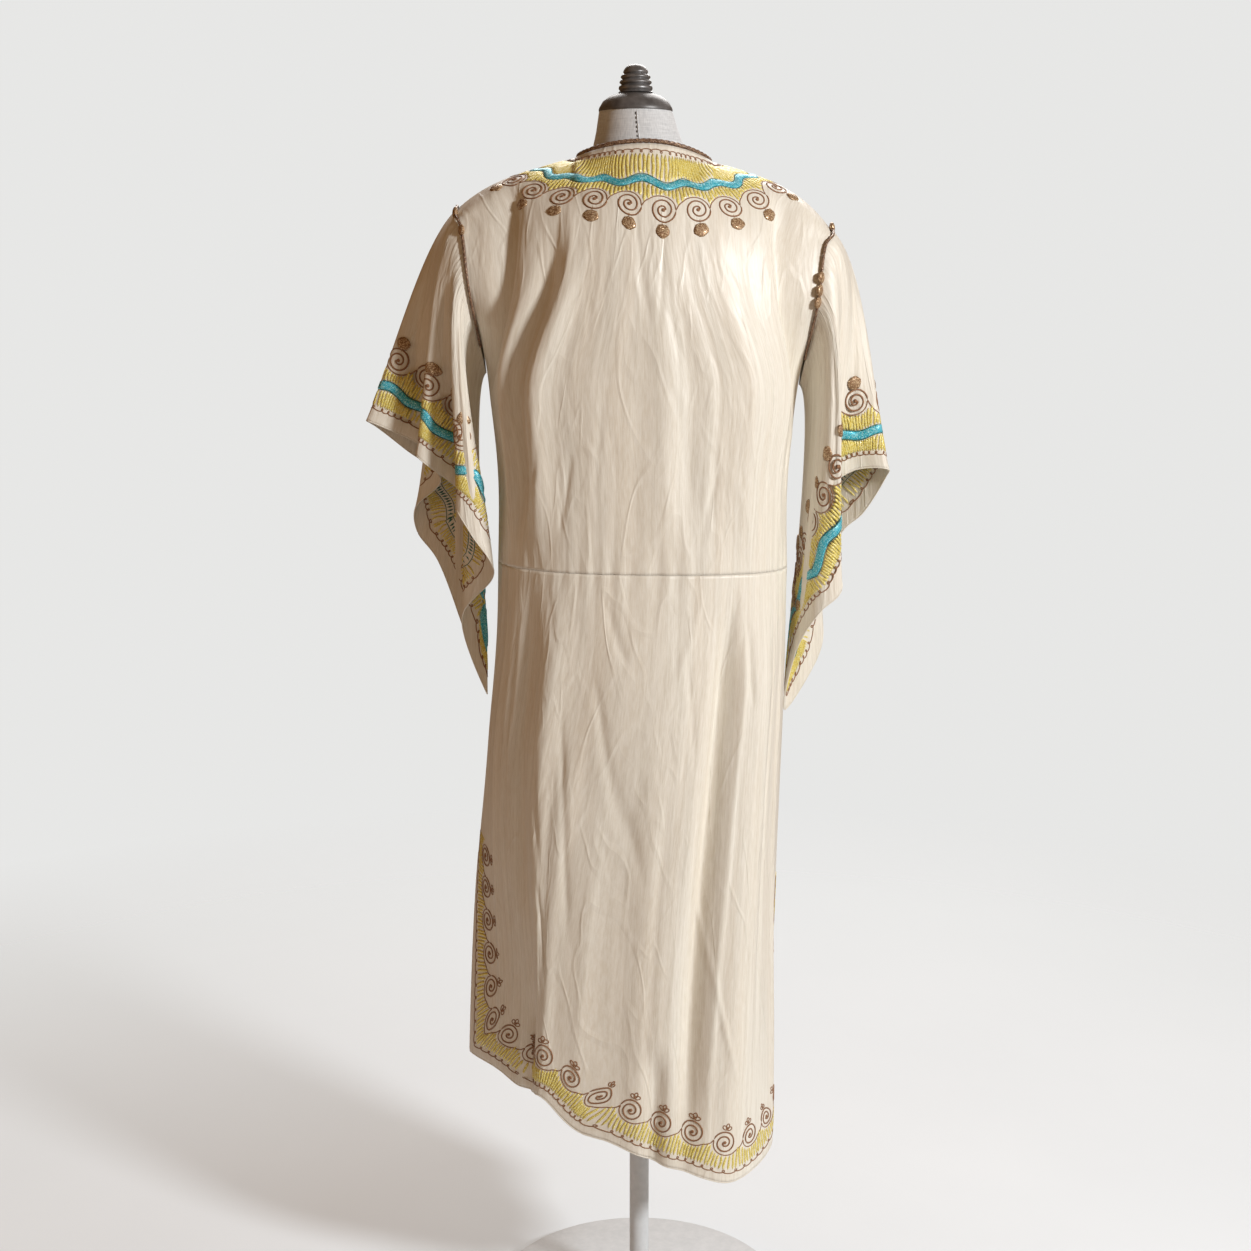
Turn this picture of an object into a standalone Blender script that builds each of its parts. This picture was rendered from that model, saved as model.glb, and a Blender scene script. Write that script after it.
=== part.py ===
"""Caftan worn by a limbless dress form, in metres, +Z up.

The photographed side, the garment's back, faces -Y. +X is the photograph's right. The origin is the
centre of the base's underside. The caftan is cut as a back and a front, each with a bodice and a
skirt joined at the waist, two wide wing sleeves, and braid round the neck and the armholes. Each
panel is a surface of two shares: one across it from its left edge to its right edge, and one along
it. Tables give the sizes of its levels, its folds and its edges, and Solidify gives it a wall.
"""
import math
from collections import namedtuple

import bmesh
import bpy
import numpy as np

# Cloth
WALL = 0.0016
SEAM_GAP = 0.0004
PANEL_SHIFT = 0.0004
SLEEVE_SEAM_GAP = 0.0006
ROUNDNESS = 0.80
BELL_FLATNESS = 0.70
BODY_CENTRE_X = 0.003

# The waist seam's height at the middle of the body, and its drop from there to the right edge
WAIST_HEIGHT = 0.992
WAIST_TILT = 0.004

# Neckline and shoulders: the neckline takes the middle share of a bodice's top edge
NECK_SHARE = 0.40
NECK_CENTRE_X = 0.004
NECK_HALF_WIDTH = 0.081
NECK_POINT_HEIGHT = 1.4725
NECK_POINT_TILT = 0.0025
NAPE_DEPTH = 0.053
NAPE_HEIGHT = 1.488
SCOOP_DEPTH = 0.098
SCOOP_HEIGHT = 1.412
Shoulder = namedtuple("Shoulder", "sign x height even_drop late_drop")
SHOULDERS = {
    "left": Shoulder(-1, -0.2165, 1.417, 0.036, 0.022),
    "right": Shoulder(1, 0.2250, 1.394, 0.040, 0.036),
}

# A bodice's levels from the waist up. The middle and the edges have their own heights and depths,
# spread turns a round section (0) into an open bell (1), and tilt lowers the right edge.
Level = namedtuple("Level", "name along height edge_height half_width edge_y middle_y spread tilt")
BACK_LEVELS = (
    Level("waist", 0.000, 0.992, 0.992, 0.176, 0.000, -0.116, 0.0, 0.004),
    Level("ribs", 0.108, 1.100, 1.100, 0.176, 0.000, -0.118, 0.0, 0.005),
    Level("underarm", 0.223, 1.215, 1.215, 0.187, -0.004, -0.122, 0.0, 0.007),
    Level("blade", 0.338, 1.330, 1.312, 0.204, -0.058, -0.122, 0.8, 0.008),
    Level("yoke", 0.436, 1.425, 1.382, 0.213, -0.046, -0.094, 1.0, 0.010),
)
FRONT_LEVELS = (
    Level("waist", 0.000, 0.992, 0.992, 0.176, 0.000, 0.112, 0.0, 0.004),
    Level("ribs", 0.108, 1.100, 1.100, 0.176, 0.000, 0.124, 0.0, 0.005),
    Level("underarm", 0.223, 1.215, 1.215, 0.187, 0.004, 0.136, 0.0, 0.007),
    Level("chest", 0.338, 1.320, 1.312, 0.204, 0.054, 0.132, 0.8, 0.008),
    Level("yoke", 0.425, 1.380, 1.378, 0.213, 0.044, 0.112, 1.0, 0.010),
)
# Just below the top edge a panel leans by these steps: over the shoulder, and at the neck
CREST_ALONG = 0.490
TOP_ALONG = 0.525
CREST_AT_SHOULDER = (0.030, 0.010)
CREST_AT_NECK = (0.018, 0.034)
SCOOP_CREST_AT_NECK = (0.008, 0.020)

# The skirt's levels from the waist down
SkirtLevel = namedtuple("SkirtLevel", "along centre_x half_width back_y front_y turn squareness")
SKIRT_LEVELS = (
    SkirtLevel(0.00, 0.003, 0.176, -0.116, 0.112, 0.0, 0.80),
    SkirtLevel(0.15, 0.001, 0.178, -0.118, 0.114, -1.5, 0.79),
    SkirtLevel(0.35, -0.006, 0.183, -0.122, 0.117, -5.0, 0.76),
    SkirtLevel(0.66, -0.020, 0.193, -0.128, 0.119, -10.0, 0.69),
    SkirtLevel(1.00, -0.026, 0.198, -0.135, 0.120, -13.0, 0.62),
)
SLIT_START = 0.60
SLIT_OPENING = 0.014
# Towards the hem the back panel's left slit edge no longer wraps round the side but flares open
LEFT_FLARE = 0.92
LEFT_FLARE_START = 0.28
LEFT_FLARE_END = 0.85
LEFT_FLARE_ACROSS = 0.45
# Beside the open slit the back panel's left corner also swings out backwards
LEFT_SWING = 0.050
LEFT_SWING_ACROSS = 0.4
# Towards the hem the right side seam and slit swing forward round the side, and the front panel
# gives way to them where it lies behind this depth
RIGHT_SWING = 0.070
RIGHT_SWING_START = 0.15
RIGHT_SWING_ACROSS = 0.45
FRONT_SWINGS_BELOW = 0.072
# Before it swings forward, the back panel turns a fuller corner here
RIGHT_CORNER = 0.023
RIGHT_CORNER_START = 0.28
RIGHT_CORNER_ACROSS = 0.78
RIGHT_CORNER_WIDTH = 0.20
# The hem's height from the left slit to the right slit
HemPoint = namedtuple("HemPoint", "across height")
BACK_HEM = (
    HemPoint(-1.0, 0.354), HemPoint(-0.7, 0.351), HemPoint(-0.45, 0.336), HemPoint(-0.25, 0.342),
    HemPoint(-0.1, 0.333), HemPoint(0.0, 0.295), HemPoint(0.1, 0.273), HemPoint(0.25, 0.259),
    HemPoint(0.55, 0.240), HemPoint(0.8, 0.257), HemPoint(1.0, 0.286),
)
FRONT_HEM = (HemPoint(-1.0, 0.356), HemPoint(-0.4, 0.318), HemPoint(0.3, 0.292), HemPoint(1.0, 0.288))

# Folds: a ridge has a positive height and a valley a negative one. Across is a share of the panel,
# along runs from its waist seam (0) to its other end (1).
Fold = namedtuple("Fold", "name across_start across_end start end half_width height")
BACK_BODICE_FOLDS = (
    Fold("long left ridge", -0.48, -0.34, -0.10, 0.80, 0.070, 0.010),
    Fold("valley beside it", -0.60, -0.47, -0.10, 0.86, 0.060, -0.010),
    Fold("outer left ridge", -0.70, -0.60, -0.10, 0.74, 0.050, 0.007),
    Fold("middle ridge", 0.05, 0.06, -0.10, 0.72, 0.045, 0.003),
    Fold("middle valley", 0.16, 0.12, -0.10, 0.70, 0.050, -0.0035),
    Fold("right band", 0.44, 0.42, -0.10, 0.80, 0.100, 0.007),
    Fold("left armhole hollow", -0.84, -0.74, 0.36, 0.98, 0.070, -0.018),
    Fold("right armhole hollow", 0.88, 0.76, 0.30, 0.98, 0.075, -0.016),
)
FRONT_BODICE_FOLDS = (
    Fold("left drape", -0.42, -0.36, -0.10, 0.62, 0.080, 0.008),
    Fold("middle hollow", 0.05, 0.02, -0.10, 0.50, 0.120, -0.010),
    Fold("right drape", 0.50, 0.42, -0.10, 0.62, 0.080, 0.009),
    Fold("left armhole hollow", -0.84, -0.76, 0.36, 0.98, 0.070, -0.014),
    Fold("right armhole hollow", 0.84, 0.76, 0.36, 0.98, 0.070, -0.014),
)
BACK_SKIRT_FOLDS = (
    Fold("left shaded valley", -0.52, -0.44, -0.10, 0.70, 0.060, -0.009),
    Fold("left soft ridge", -0.34, -0.26, -0.10, 1.10, 0.075, 0.007),
    Fold("middle swell", 0.05, 0.02, -0.10, 1.10, 0.160, 0.006),
    Fold("long right valley", 0.37, 0.25, -0.10, 1.10, 0.055, -0.018),
    Fold("right band", 0.58, 0.52, -0.10, 1.10, 0.110, 0.009),
    Fold("left hem pinch", -0.42, -0.47, 0.78, 1.12, 0.045, -0.006),
    Fold("right hem pinch", 0.14, 0.12, 0.78, 1.12, 0.035, -0.009),
)
FRONT_SKIRT_FOLDS = (
    Fold("left drape", -0.46, -0.50, -0.10, 1.10, 0.080, 0.010),
    Fold("left valley", -0.20, -0.24, -0.10, 1.10, 0.070, -0.012),
    Fold("middle drape", 0.06, 0.08, -0.10, 1.10, 0.080, 0.008),
    Fold("right valley", 0.34, 0.36, -0.10, 1.10, 0.070, -0.013),
    Fold("right drape", 0.60, 0.62, -0.10, 1.10, 0.070, 0.009),
)

# A sleeve's hem, all the way round, from the shoulder point: how far out from the body, how far to
# the photographed side, and how far down. It starts at the end of the top fold, runs along the
# back half to the low tip under the arm, and comes back along the front half.
HemRow = namedtuple("HemRow", "name out back down")
SLEEVE_HEMS = {
    "left": (
        HemRow("end of the top fold", 0.116, 0.004, 0.252),
        HemRow("first valley", 0.048, 0.002, 0.284),
        HemRow("first ridge", 0.053, 0.032, 0.292),
        HemRow("second valley", 0.001, 0.017, 0.338),
        HemRow("second ridge", 0.004, 0.054, 0.353),
        HemRow("bright panel", -0.014, 0.058, 0.385),
        HemRow("turn beside the body", -0.039, 0.046, 0.432),
        HemRow("outer turn", 0.003, 0.012, 0.493),
        HemRow("low tip", -0.025, -0.010, 0.595),
        HemRow("front, low", 0.005, -0.032, 0.515),
        HemRow("front, middle", 0.038, -0.042, 0.428),
        HemRow("front, outer turn begins", 0.063, -0.049, 0.394),
        HemRow("front, outer turn ends", 0.064, -0.041, 0.364),
        HemRow("front, inner turn", 0.030, -0.022, 0.326),
        HemRow("front, high", 0.074, -0.018, 0.287),
        HemRow("behind the top fold", 0.107, -0.012, 0.260),
    ),
    "right": (
        HemRow("end of the top fold", 0.077, 0.004, 0.288),
        HemRow("outer panel", 0.034, -0.002, 0.291),
        HemRow("hidden valley", -0.012, 0.006, 0.335),
        HemRow("long ridge", 0.019, 0.047, 0.429),
        HemRow("inner panel", -0.007, 0.050, 0.457),
        HemRow("beside the body", -0.030, 0.018, 0.505),
        HemRow("low tip", -0.038, -0.058, 0.603),
        HemRow("front, low", -0.012, -0.060, 0.564),
        HemRow("front, outer turn", 0.008, -0.064, 0.518),
        HemRow("front, hidden turn", 0.008, -0.073, 0.446),
        HemRow("front, middle", 0.030, -0.056, 0.373),
        HemRow("front, high", 0.054, -0.042, 0.347),
        HemRow("front, beside the top fold", 0.078, -0.018, 0.300),
    ),
}
LOW_TIP = "low tip"

# Braid
NECK_BRAID_RADIUS = 0.0028
ARMHOLE_BRAID_RADIUS = 0.0021
BRAID_GAP = 0.0007
NECK_BRAID_RISE = math.radians(62)
NECK_POINT_BRAID_RISE = math.radians(25)
ARMHOLE_BRAID_STOPS_SHORT = 2

# Dress form: a smooth torso with its neck
TorsoRing = namedtuple("TorsoRing", "height centre_x centre_y half_width half_depth squareness")
TORSO_RINGS = (
    TorsoRing(1.5290, -0.006, 0.010, 0.0435, 0.0420, 1.00),
    TorsoRing(1.5050, -0.004, 0.009, 0.0490, 0.0440, 1.00),
    TorsoRing(1.4830, -0.002, 0.008, 0.0560, 0.0470, 1.00),
    TorsoRing(1.4650, 0.000, 0.004, 0.0640, 0.0480, 0.98),
    TorsoRing(1.4565, 0.001, -0.002, 0.0900, 0.0500, 0.97),
    TorsoRing(1.4475, 0.002, -0.003, 0.1220, 0.0550, 0.96),
    TorsoRing(1.4330, 0.003, -0.003, 0.1500, 0.0635, 0.94),
    TorsoRing(1.4080, 0.003, 0.000, 0.1660, 0.0720, 0.92),
    TorsoRing(1.3700, 0.003, 0.004, 0.1700, 0.0840, 0.90),
    TorsoRing(1.3000, 0.003, 0.010, 0.1620, 0.0950, 0.88),
    TorsoRing(1.2100, 0.003, 0.012, 0.1550, 0.1050, 0.90),
    TorsoRing(1.1000, 0.003, 0.008, 0.1300, 0.0900, 0.92),
    TorsoRing(1.0000, 0.003, 0.002, 0.1160, 0.0820, 0.94),
    TorsoRing(0.9100, 0.002, 0.000, 0.1350, 0.0900, 0.92),
    TorsoRing(0.8200, 0.000, 0.000, 0.1540, 0.0980, 0.90),
    TorsoRing(0.7300, 0.000, 0.000, 0.1560, 0.0990, 0.90),
    TorsoRing(0.7200, 0.000, 0.000, 0.1500, 0.0940, 0.90),
)

# Cap, finial, collar, pole and base: turned outlines of radius and height from the top down
Turn = namedtuple("Turn", "radius height")
CAP_CENTRE = (-0.006, 0.010)
CAP_OUTLINE = (
    Turn(0.0000, 1.5500), Turn(0.0200, 1.5500), Turn(0.0300, 1.5470), Turn(0.0390, 1.5405),
    Turn(0.0435, 1.5330), Turn(0.0440, 1.5293), Turn(0.0000, 1.5293),
)
FINIAL_OUTLINE = (
    Turn(0.0000, 1.5835), Turn(0.0060, 1.5829), Turn(0.0104, 1.5808), Turn(0.0134, 1.5776),
    Turn(0.0148, 1.5742), Turn(0.0136, 1.5722), Turn(0.0166, 1.5706), Turn(0.0177, 1.5682),
    Turn(0.0158, 1.5660), Turn(0.0183, 1.5644), Turn(0.0191, 1.5620), Turn(0.0168, 1.5598),
    Turn(0.0195, 1.5580), Turn(0.0201, 1.5550), Turn(0.0186, 1.5527), Turn(0.0198, 1.5503),
    Turn(0.0000, 1.5503),
)
COLLAR_OUTLINE = (
    Turn(0.0000, 0.7197), Turn(0.0420, 0.7197), Turn(0.0420, 0.7140), Turn(0.0220, 0.7080),
    Turn(0.0200, 0.6800), Turn(0.0000, 0.6800),
)
POLE_RADIUS = 0.0125
POLE_TOP = 0.6797
BASE_RADIUS = 0.190
BASE_HEIGHT = 0.018
BASE_BEVEL = 0.004
BASE_OUTLINE = (
    Turn(0.0000, BASE_HEIGHT), Turn(BASE_RADIUS - BASE_BEVEL, BASE_HEIGHT),
    Turn(BASE_RADIUS, BASE_HEIGHT - BASE_BEVEL), Turn(BASE_RADIUS, 0.0), Turn(0.0000, 0.0),
)

# Mesh density
PANEL_COLUMNS = 31
BODICE_ROWS = 15
SKIRT_ROWS = 11
SLEEVE_ROWS = 10
SLEEVE_COLUMNS_PER_ROW = 4
TORSO_SIDES = 32
TURNED_SIDES = 24


def through(knots, values, at):
    """Smooth curve through values at rising knots: cubic pieces with the slopes of their neighbours."""
    knots = np.asarray(knots, float)
    values = np.asarray(values, float)
    at = np.asarray(at, float)
    slopes = np.gradient(values, knots, axis=0)
    piece = np.clip(np.searchsorted(knots, at, side="right") - 1, 0, len(knots) - 2)
    width = knots[piece + 1] - knots[piece]
    t = (at - knots[piece]) / width
    grow = (...,) + (None,) * (values.ndim - 1)
    t, width = t[grow], width[grow]
    start = (1 + 2 * t) * (1 - t) ** 2 * values[piece] + t * (1 - t) ** 2 * width * slopes[piece]
    end = t * t * (3 - 2 * t) * values[piece + 1] - t * t * (1 - t) * width * slopes[piece + 1]
    return start + end


def ease(value, low, high):
    """0 below low, 1 above high, and a soft S between them."""
    t = np.clip((value - low) / (high - low), 0.0, 1.0)
    return t * t * (3 - 2 * t)


def fold_height(folds, across, along):
    """Sum of the folds: each is a bell across a line, and fades near its two ends."""
    total = np.zeros(np.broadcast(across, along).shape)
    for fold in folds:
        share = np.clip((along - fold.start) / (fold.end - fold.start), 0.0, 1.0)
        centre = fold.across_start + (fold.across_end - fold.across_start) * share
        fade = ease(share, 0.0, 0.25) * (1 - ease(share, 0.70, 1.0))
        total = total + fold.height * np.exp(-((across - centre) / fold.half_width) ** 2) * fade
    return total


def outward(across, facing, height):
    """Push out from the body's axis: a turn of a quarter circle from the middle to each edge."""
    angle = across * math.pi / 2
    return np.stack([np.sin(angle) * height, facing * np.cos(angle) * height, 0 * height], axis=-1)


def bodice_section(level, across):
    """One level of a bodice, from its left edge (-1) to its right edge (1)."""
    angle = across * math.pi / 2
    round_x = np.sign(across) * np.abs(np.sin(angle)) ** ROUNDNESS
    round_y = np.abs(np.cos(angle)) ** ROUNDNESS
    bell = np.clip(0.5 + 0.5 * np.cos(math.pi * across), 0, 1) ** BELL_FLATNESS
    x = BODY_CENTRE_X + level.half_width * ((1 - level.spread) * round_x + level.spread * across)
    rise = (1 - level.spread) * round_y + level.spread * bell
    y = level.edge_y + (level.middle_y - level.edge_y) * rise
    z = level.edge_height + (level.height - level.edge_height) * np.cos(angle) - level.tilt * across
    return np.stack([x, y, z], axis=-1)


def bodice_top(facing, across):
    """Top edge of a bodice: an arc of neckline in the middle, and a shoulder seam on each side."""
    inner = np.clip(across / NECK_SHARE, -1, 1) * math.pi / 2
    depth, middle = (NAPE_DEPTH, NAPE_HEIGHT) if facing < 0 else (SCOOP_DEPTH, SCOOP_HEIGHT)
    x = NECK_CENTRE_X + NECK_HALF_WIDTH * np.sin(inner)
    y = facing * depth * np.cos(inner)
    point = NECK_POINT_HEIGHT - NECK_POINT_TILT * np.sign(across)
    z = point + (middle - NECK_POINT_HEIGHT) * np.cos(inner) ** 2
    z = z + NECK_POINT_TILT * np.sign(across) * np.cos(inner) ** 2
    for shoulder in SHOULDERS.values():
        share = np.clip((shoulder.sign * across - NECK_SHARE) / (1 - NECK_SHARE), 0, 1)
        neck_x = NECK_CENTRE_X + shoulder.sign * NECK_HALF_WIDTH
        x = x + (shoulder.x - neck_x) * share
        z = z - shoulder.even_drop * share - shoulder.late_drop * share ** 4
    return np.stack([x, y, z], axis=-1)


def bodice(facing, across, along):
    """A bodice panel's middle surface: its levels, crest and top edge joined by smooth columns.

    The panel stays on its own side of the body's side plane, y = 0.
    """
    levels = BACK_LEVELS if facing < 0 else FRONT_LEVELS
    folds = BACK_BODICE_FOLDS if facing < 0 else FRONT_BODICE_FOLDS
    neck_step = CREST_AT_NECK if facing < 0 else SCOOP_CREST_AT_NECK
    top = bodice_top(facing, across)
    at_neck = 1 - ease(np.abs(across), 0.3 * NECK_SHARE, NECK_SHARE)
    step = [CREST_AT_SHOULDER[i] + (neck_step[i] - CREST_AT_SHOULDER[i]) * at_neck for i in (0, 1)]
    crest = top + np.stack([0 * across, facing * step[0], -step[1]], axis=-1)
    rows = [bodice_section(level, across) for level in levels] + [crest, top]
    knots = [level.along for level in levels] + [CREST_ALONG, TOP_ALONG]
    points = through(knots, rows, along * TOP_ALONG)
    height = fold_height(folds, across[None, :], along[:, None])
    height = height * (1 - ease(along, 0.90, 1.0))[:, None]
    points = points + outward(across[None, :] + 0 * height, facing, height)
    points[..., 1] = facing * np.maximum(facing * points[..., 1], 0.0)
    return points


def skirt(facing, across, along):
    """A skirt panel's middle surface: sections that widen, square up and turn from waist to hem."""
    sizes = through([level.along for level in SKIRT_LEVELS], [level[1:] for level in SKIRT_LEVELS], along)
    centre_x, half_width, back_y, front_y, turn, squareness = [sizes[:, i, None] for i in range(6)]
    angle = across[None, :] * math.pi / 2
    round_x = np.sign(across) * np.abs(np.sin(angle)) ** squareness
    round_y = np.abs(np.cos(angle)) ** squareness
    flare = LEFT_FLARE * ease(along, LEFT_FLARE_START, LEFT_FLARE_END)[:, None]
    flare = flare * ease(-across, 0.0, LEFT_FLARE_ACROSS) * (facing < 0)
    x = half_width * ((1 - flare) * round_x + flare * across)
    y = (back_y if facing < 0 else front_y) * ((1 - flare) * round_y + flare * (1 - across ** 2))
    folds = BACK_SKIRT_FOLDS if facing < 0 else FRONT_SKIRT_FOLDS
    height = fold_height(folds, across[None, :], along[:, None])
    height = height * (0.25 + 0.75 * ease(along, 0.0, 0.2))[:, None]
    push = outward(across[None, :] + 0 * height, facing, height)
    x, y = x + push[..., 0], y + push[..., 1]
    open_slit = SLIT_OPENING * ease(along, SLIT_START, 1.0)[:, None] * ease(np.abs(across), 0.8, 1.0)
    if facing > 0:
        x = x - np.sign(across) * open_slit
        y = y + open_slit
    turn = np.radians(turn)
    hem = BACK_HEM if facing < 0 else FRONT_HEM
    hem_height = through([point.across for point in hem], [point.height for point in hem], across)
    waist_height = WAIST_HEIGHT - WAIST_TILT * across
    z = waist_height + (hem_height - waist_height) * along[:, None]
    turned_x = centre_x + x * np.cos(turn) - y * np.sin(turn)
    if facing < 0:
        corner = np.exp(-((across - RIGHT_CORNER_ACROSS) / RIGHT_CORNER_WIDTH) ** 2)
        corner = corner * (1 - ease(across, RIGHT_CORNER_ACROSS, 1.0))
        turned_x = turned_x + RIGHT_CORNER * ease(along, RIGHT_CORNER_START, 1.0)[:, None] * corner
    turned_y = x * np.sin(turn) + y * np.cos(turn)
    share = ease(across, RIGHT_SWING_ACROSS, 1.0)
    if facing > 0:
        room = FRONT_SWINGS_BELOW - half_width * np.sin(turn)
        share = np.clip((FRONT_SWINGS_BELOW - turned_y) / room, 0.0, 1.0) * (across > 0)
    turned_y = turned_y + RIGHT_SWING * ease(along, RIGHT_SWING_START, 1.0)[:, None] * share
    if facing < 0:
        corner = np.clip((-across - LEFT_SWING_ACROSS) / (1 - LEFT_SWING_ACROSS), 0.0, 1.0) ** 1.5
        turned_y = turned_y - LEFT_SWING * ease(along, SLIT_START, 1.0)[:, None] * corner
    return np.stack([turned_x, turned_y, z], axis=-1)


def part_panels(points, facing):
    """Leave a gap between a front and a back panel: each moves a little to its own side."""
    return points + np.array([0.0, facing * PANEL_SHIFT, 0.0])


def panel_columns():
    """The shares across a panel at which its mesh has columns."""
    return np.linspace(-1.0, 1.0, PANEL_COLUMNS)


def bodice_rows():
    """The shares along a bodice at which its mesh has rows."""
    return np.linspace(SEAM_GAP / 2 / TOP_ALONG, 1.0, BODICE_ROWS)


def edge_loop(side):
    """The armhole of one side: down the back bodice's edge and up the front one's.

    Gives the points, the direction in which the bodice's cloth leaves the armhole there, and each
    point's share of the way round: 0 on the shoulder, half under the arm, 1 back on the shoulder.
    """
    edge = SHOULDERS[side].sign
    across = edge * panel_columns()[-2:]
    rows = bodice_rows()
    down = rows[rows > BACK_LEVELS[2].along / TOP_ALONG - 1e-6][::-1]
    back = part_panels(bodice(-1, across, down), -1)
    front = part_panels(bodice(1, across, down[::-1]), 1)
    both = np.concatenate([back, front])
    leaving = both[:, 1] - both[:, 0]
    leaving = leaving / np.linalg.norm(leaving, axis=1, keepdims=True)
    loop = both[:, 1]
    half = len(loop) // 2
    steps = np.linalg.norm(np.diff(loop, axis=0), axis=1)
    length_down = np.concatenate([[0], np.cumsum(steps[:half - 1])])
    length_up = np.concatenate([[0], np.cumsum(steps[half:])])
    share = np.concatenate([length_down / length_down[-1] / 2, 0.5 + length_up / length_up[-1] / 2])
    return loop, leaving, share


def armhole(side, share):
    """Points, and the directions in which the bodice leaves them, at shares of the armhole loop."""
    loop, leaving, measured = edge_loop(side)
    point = np.stack([np.interp(share, measured, loop[:, i]) for i in range(3)], axis=-1)
    direction = np.stack([np.interp(share, measured, leaving[:, i]) for i in range(3)], axis=-1)
    return point, direction / np.linalg.norm(direction, axis=-1, keepdims=True)


def sleeve_hem(side, per_row):
    """The closed hem of a sleeve, with the same number of points between each two rows.

    Gives the points, and each one's share of the length: half of it at the low tip.
    """
    shoulder = SHOULDERS[side]
    rows = SLEEVE_HEMS[side]
    start = np.array([shoulder.x, 0.0, shoulder.height])
    points = np.array([start + (shoulder.sign * row.out, -row.back, -row.down) for row in rows])
    tip = [row.name for row in rows].index(LOW_TIP)
    count = len(points)
    wrapped = np.concatenate([points[-3:], points, points[:4]])
    knots = np.concatenate([[0], np.cumsum(np.linalg.norm(np.diff(wrapped, axis=0), axis=1) ** 0.5)])
    knots = knots - knots[3]
    steps = np.arange(count * per_row + 1) / per_row
    at = np.interp(steps, np.arange(count + 1), knots[3:count + 4])
    curve = through(knots, wrapped, at)
    length = np.concatenate([[0], np.cumsum(np.linalg.norm(np.diff(curve, axis=0), axis=1))])
    at_tip = length[tip * per_row]
    share = np.interp(length, [0, at_tip, length[-1]], [0, 0.5, 1])
    return curve[:-1], share[:-1]


def sleeve_direction(side, share):
    """The direction in which a sleeve leaves its armhole: outward, down and a little apart."""
    wave, swing = np.cos(2 * math.pi * share), np.sin(2 * math.pi * share)
    outward_part = SHOULDERS[side].sign * (0.82 - 0.02 * wave)
    direction = np.stack([outward_part, -0.25 * swing, -0.55 - 0.05 * wave], axis=-1)
    return direction / np.linalg.norm(direction, axis=-1, keepdims=True)


def sleeve(side, per_row, fall):
    """A sleeve's middle surface: cubic lines from the armhole to the hem that leave it outward.

    fall is 0 at the armhole and 1 at the hem. The line starts a seam gap away from the bodice's
    wall, and further where it leaves the bodice at an angle.
    """
    hem, share = sleeve_hem(side, per_row)
    start, leaving = armhole(side, share)
    direction = sleeve_direction(side, share)
    cosine = np.clip(np.sum(direction * leaving, axis=-1), 0.45, 1.0)
    sine = np.sqrt(1 - cosine ** 2)
    start = start + direction * ((SLEEVE_SEAM_GAP + WALL / 2 * sine) / cosine)[:, None]
    chord = hem - start
    reach = (0.39 + 0.20 * np.cos(2 * math.pi * share)) * np.linalg.norm(chord, axis=-1)
    leave, arrive = direction * reach[:, None], chord * 0.88
    t = np.asarray(fall, float)[:, None, None]
    return ((1 + 2 * t) * (1 - t) ** 2 * start + t * (1 - t) ** 2 * leave
            + t * t * (3 - 2 * t) * hem - t * t * (1 - t) * arrive)


def simple_material(name, colour, roughness, metallic=0.0):
    """A plain Principled finish."""
    material = bpy.data.materials.new(name)
    material.use_nodes = True
    shader = material.node_tree.nodes["Principled BSDF"]
    shader.inputs["Base Color"].default_value = (*colour, 1.0)
    shader.inputs["Roughness"].default_value = roughness
    shader.inputs["Metallic"].default_value = metallic
    return material


def add_piece(name, mesh, collection, material):
    """Put a mesh into the model as a named object with its material."""
    piece = bpy.data.objects.new(name, mesh)
    collection.objects.link(piece)
    mesh.materials.append(material)
    return piece


def grid_mesh(name, points, closed_across=False):
    """Quads over a grid of points, joined round across the grid where it is closed."""
    rows, columns = points.shape[:2]
    index = np.arange(rows * columns).reshape(rows, columns)
    if closed_across:
        index = np.concatenate([index, index[:, :1]], axis=1)
    quads = np.stack([index[:-1, :-1], index[:-1, 1:], index[1:, 1:], index[1:, :-1]], axis=-1)
    mesh = bpy.data.meshes.new(name)
    mesh.from_pydata(points.reshape(-1, 3).tolist(), [], quads.reshape(-1, 4).tolist())
    mesh.shade_smooth()
    return mesh


def add_cloth(name, points, collection, material, closed_across=False):
    """A cloth piece: a grid that Solidify thickens evenly to both sides."""
    piece = add_piece(name, grid_mesh(name, points, closed_across), collection, material)
    wall = piece.modifiers.new("cloth wall", "SOLIDIFY")
    wall.thickness = WALL
    wall.offset = 0.0
    return piece


def add_panels(collection, cloth):
    """Back and front, each a bodice and a skirt, parted at the waist seam."""
    across = panel_columns()
    skirt_start = SEAM_GAP / 2 / (WAIST_HEIGHT - BACK_HEM[0].height)
    skirt_along = np.linspace(skirt_start, 1.0, SKIRT_ROWS)
    for word, facing in (("back", -1), ("front", 1)):
        bodice_points = part_panels(bodice(facing, across, bodice_rows()), facing)
        skirt_points = part_panels(skirt(facing, across, skirt_along), facing)
        add_cloth(word + "_bodice", bodice_points, collection, cloth)
        add_cloth(word + "_skirt", skirt_points, collection, cloth)


def add_sleeves(collection, cloth):
    """Two wing sleeves, each a tube from its armhole to its folded hem."""
    fall = np.linspace(0.0, 1.0, SLEEVE_ROWS)
    for side in SHOULDERS:
        points = sleeve(side, SLEEVE_COLUMNS_PER_ROW, fall)
        add_cloth("sleeve_" + side, points, collection, cloth, closed_across=True)


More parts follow.
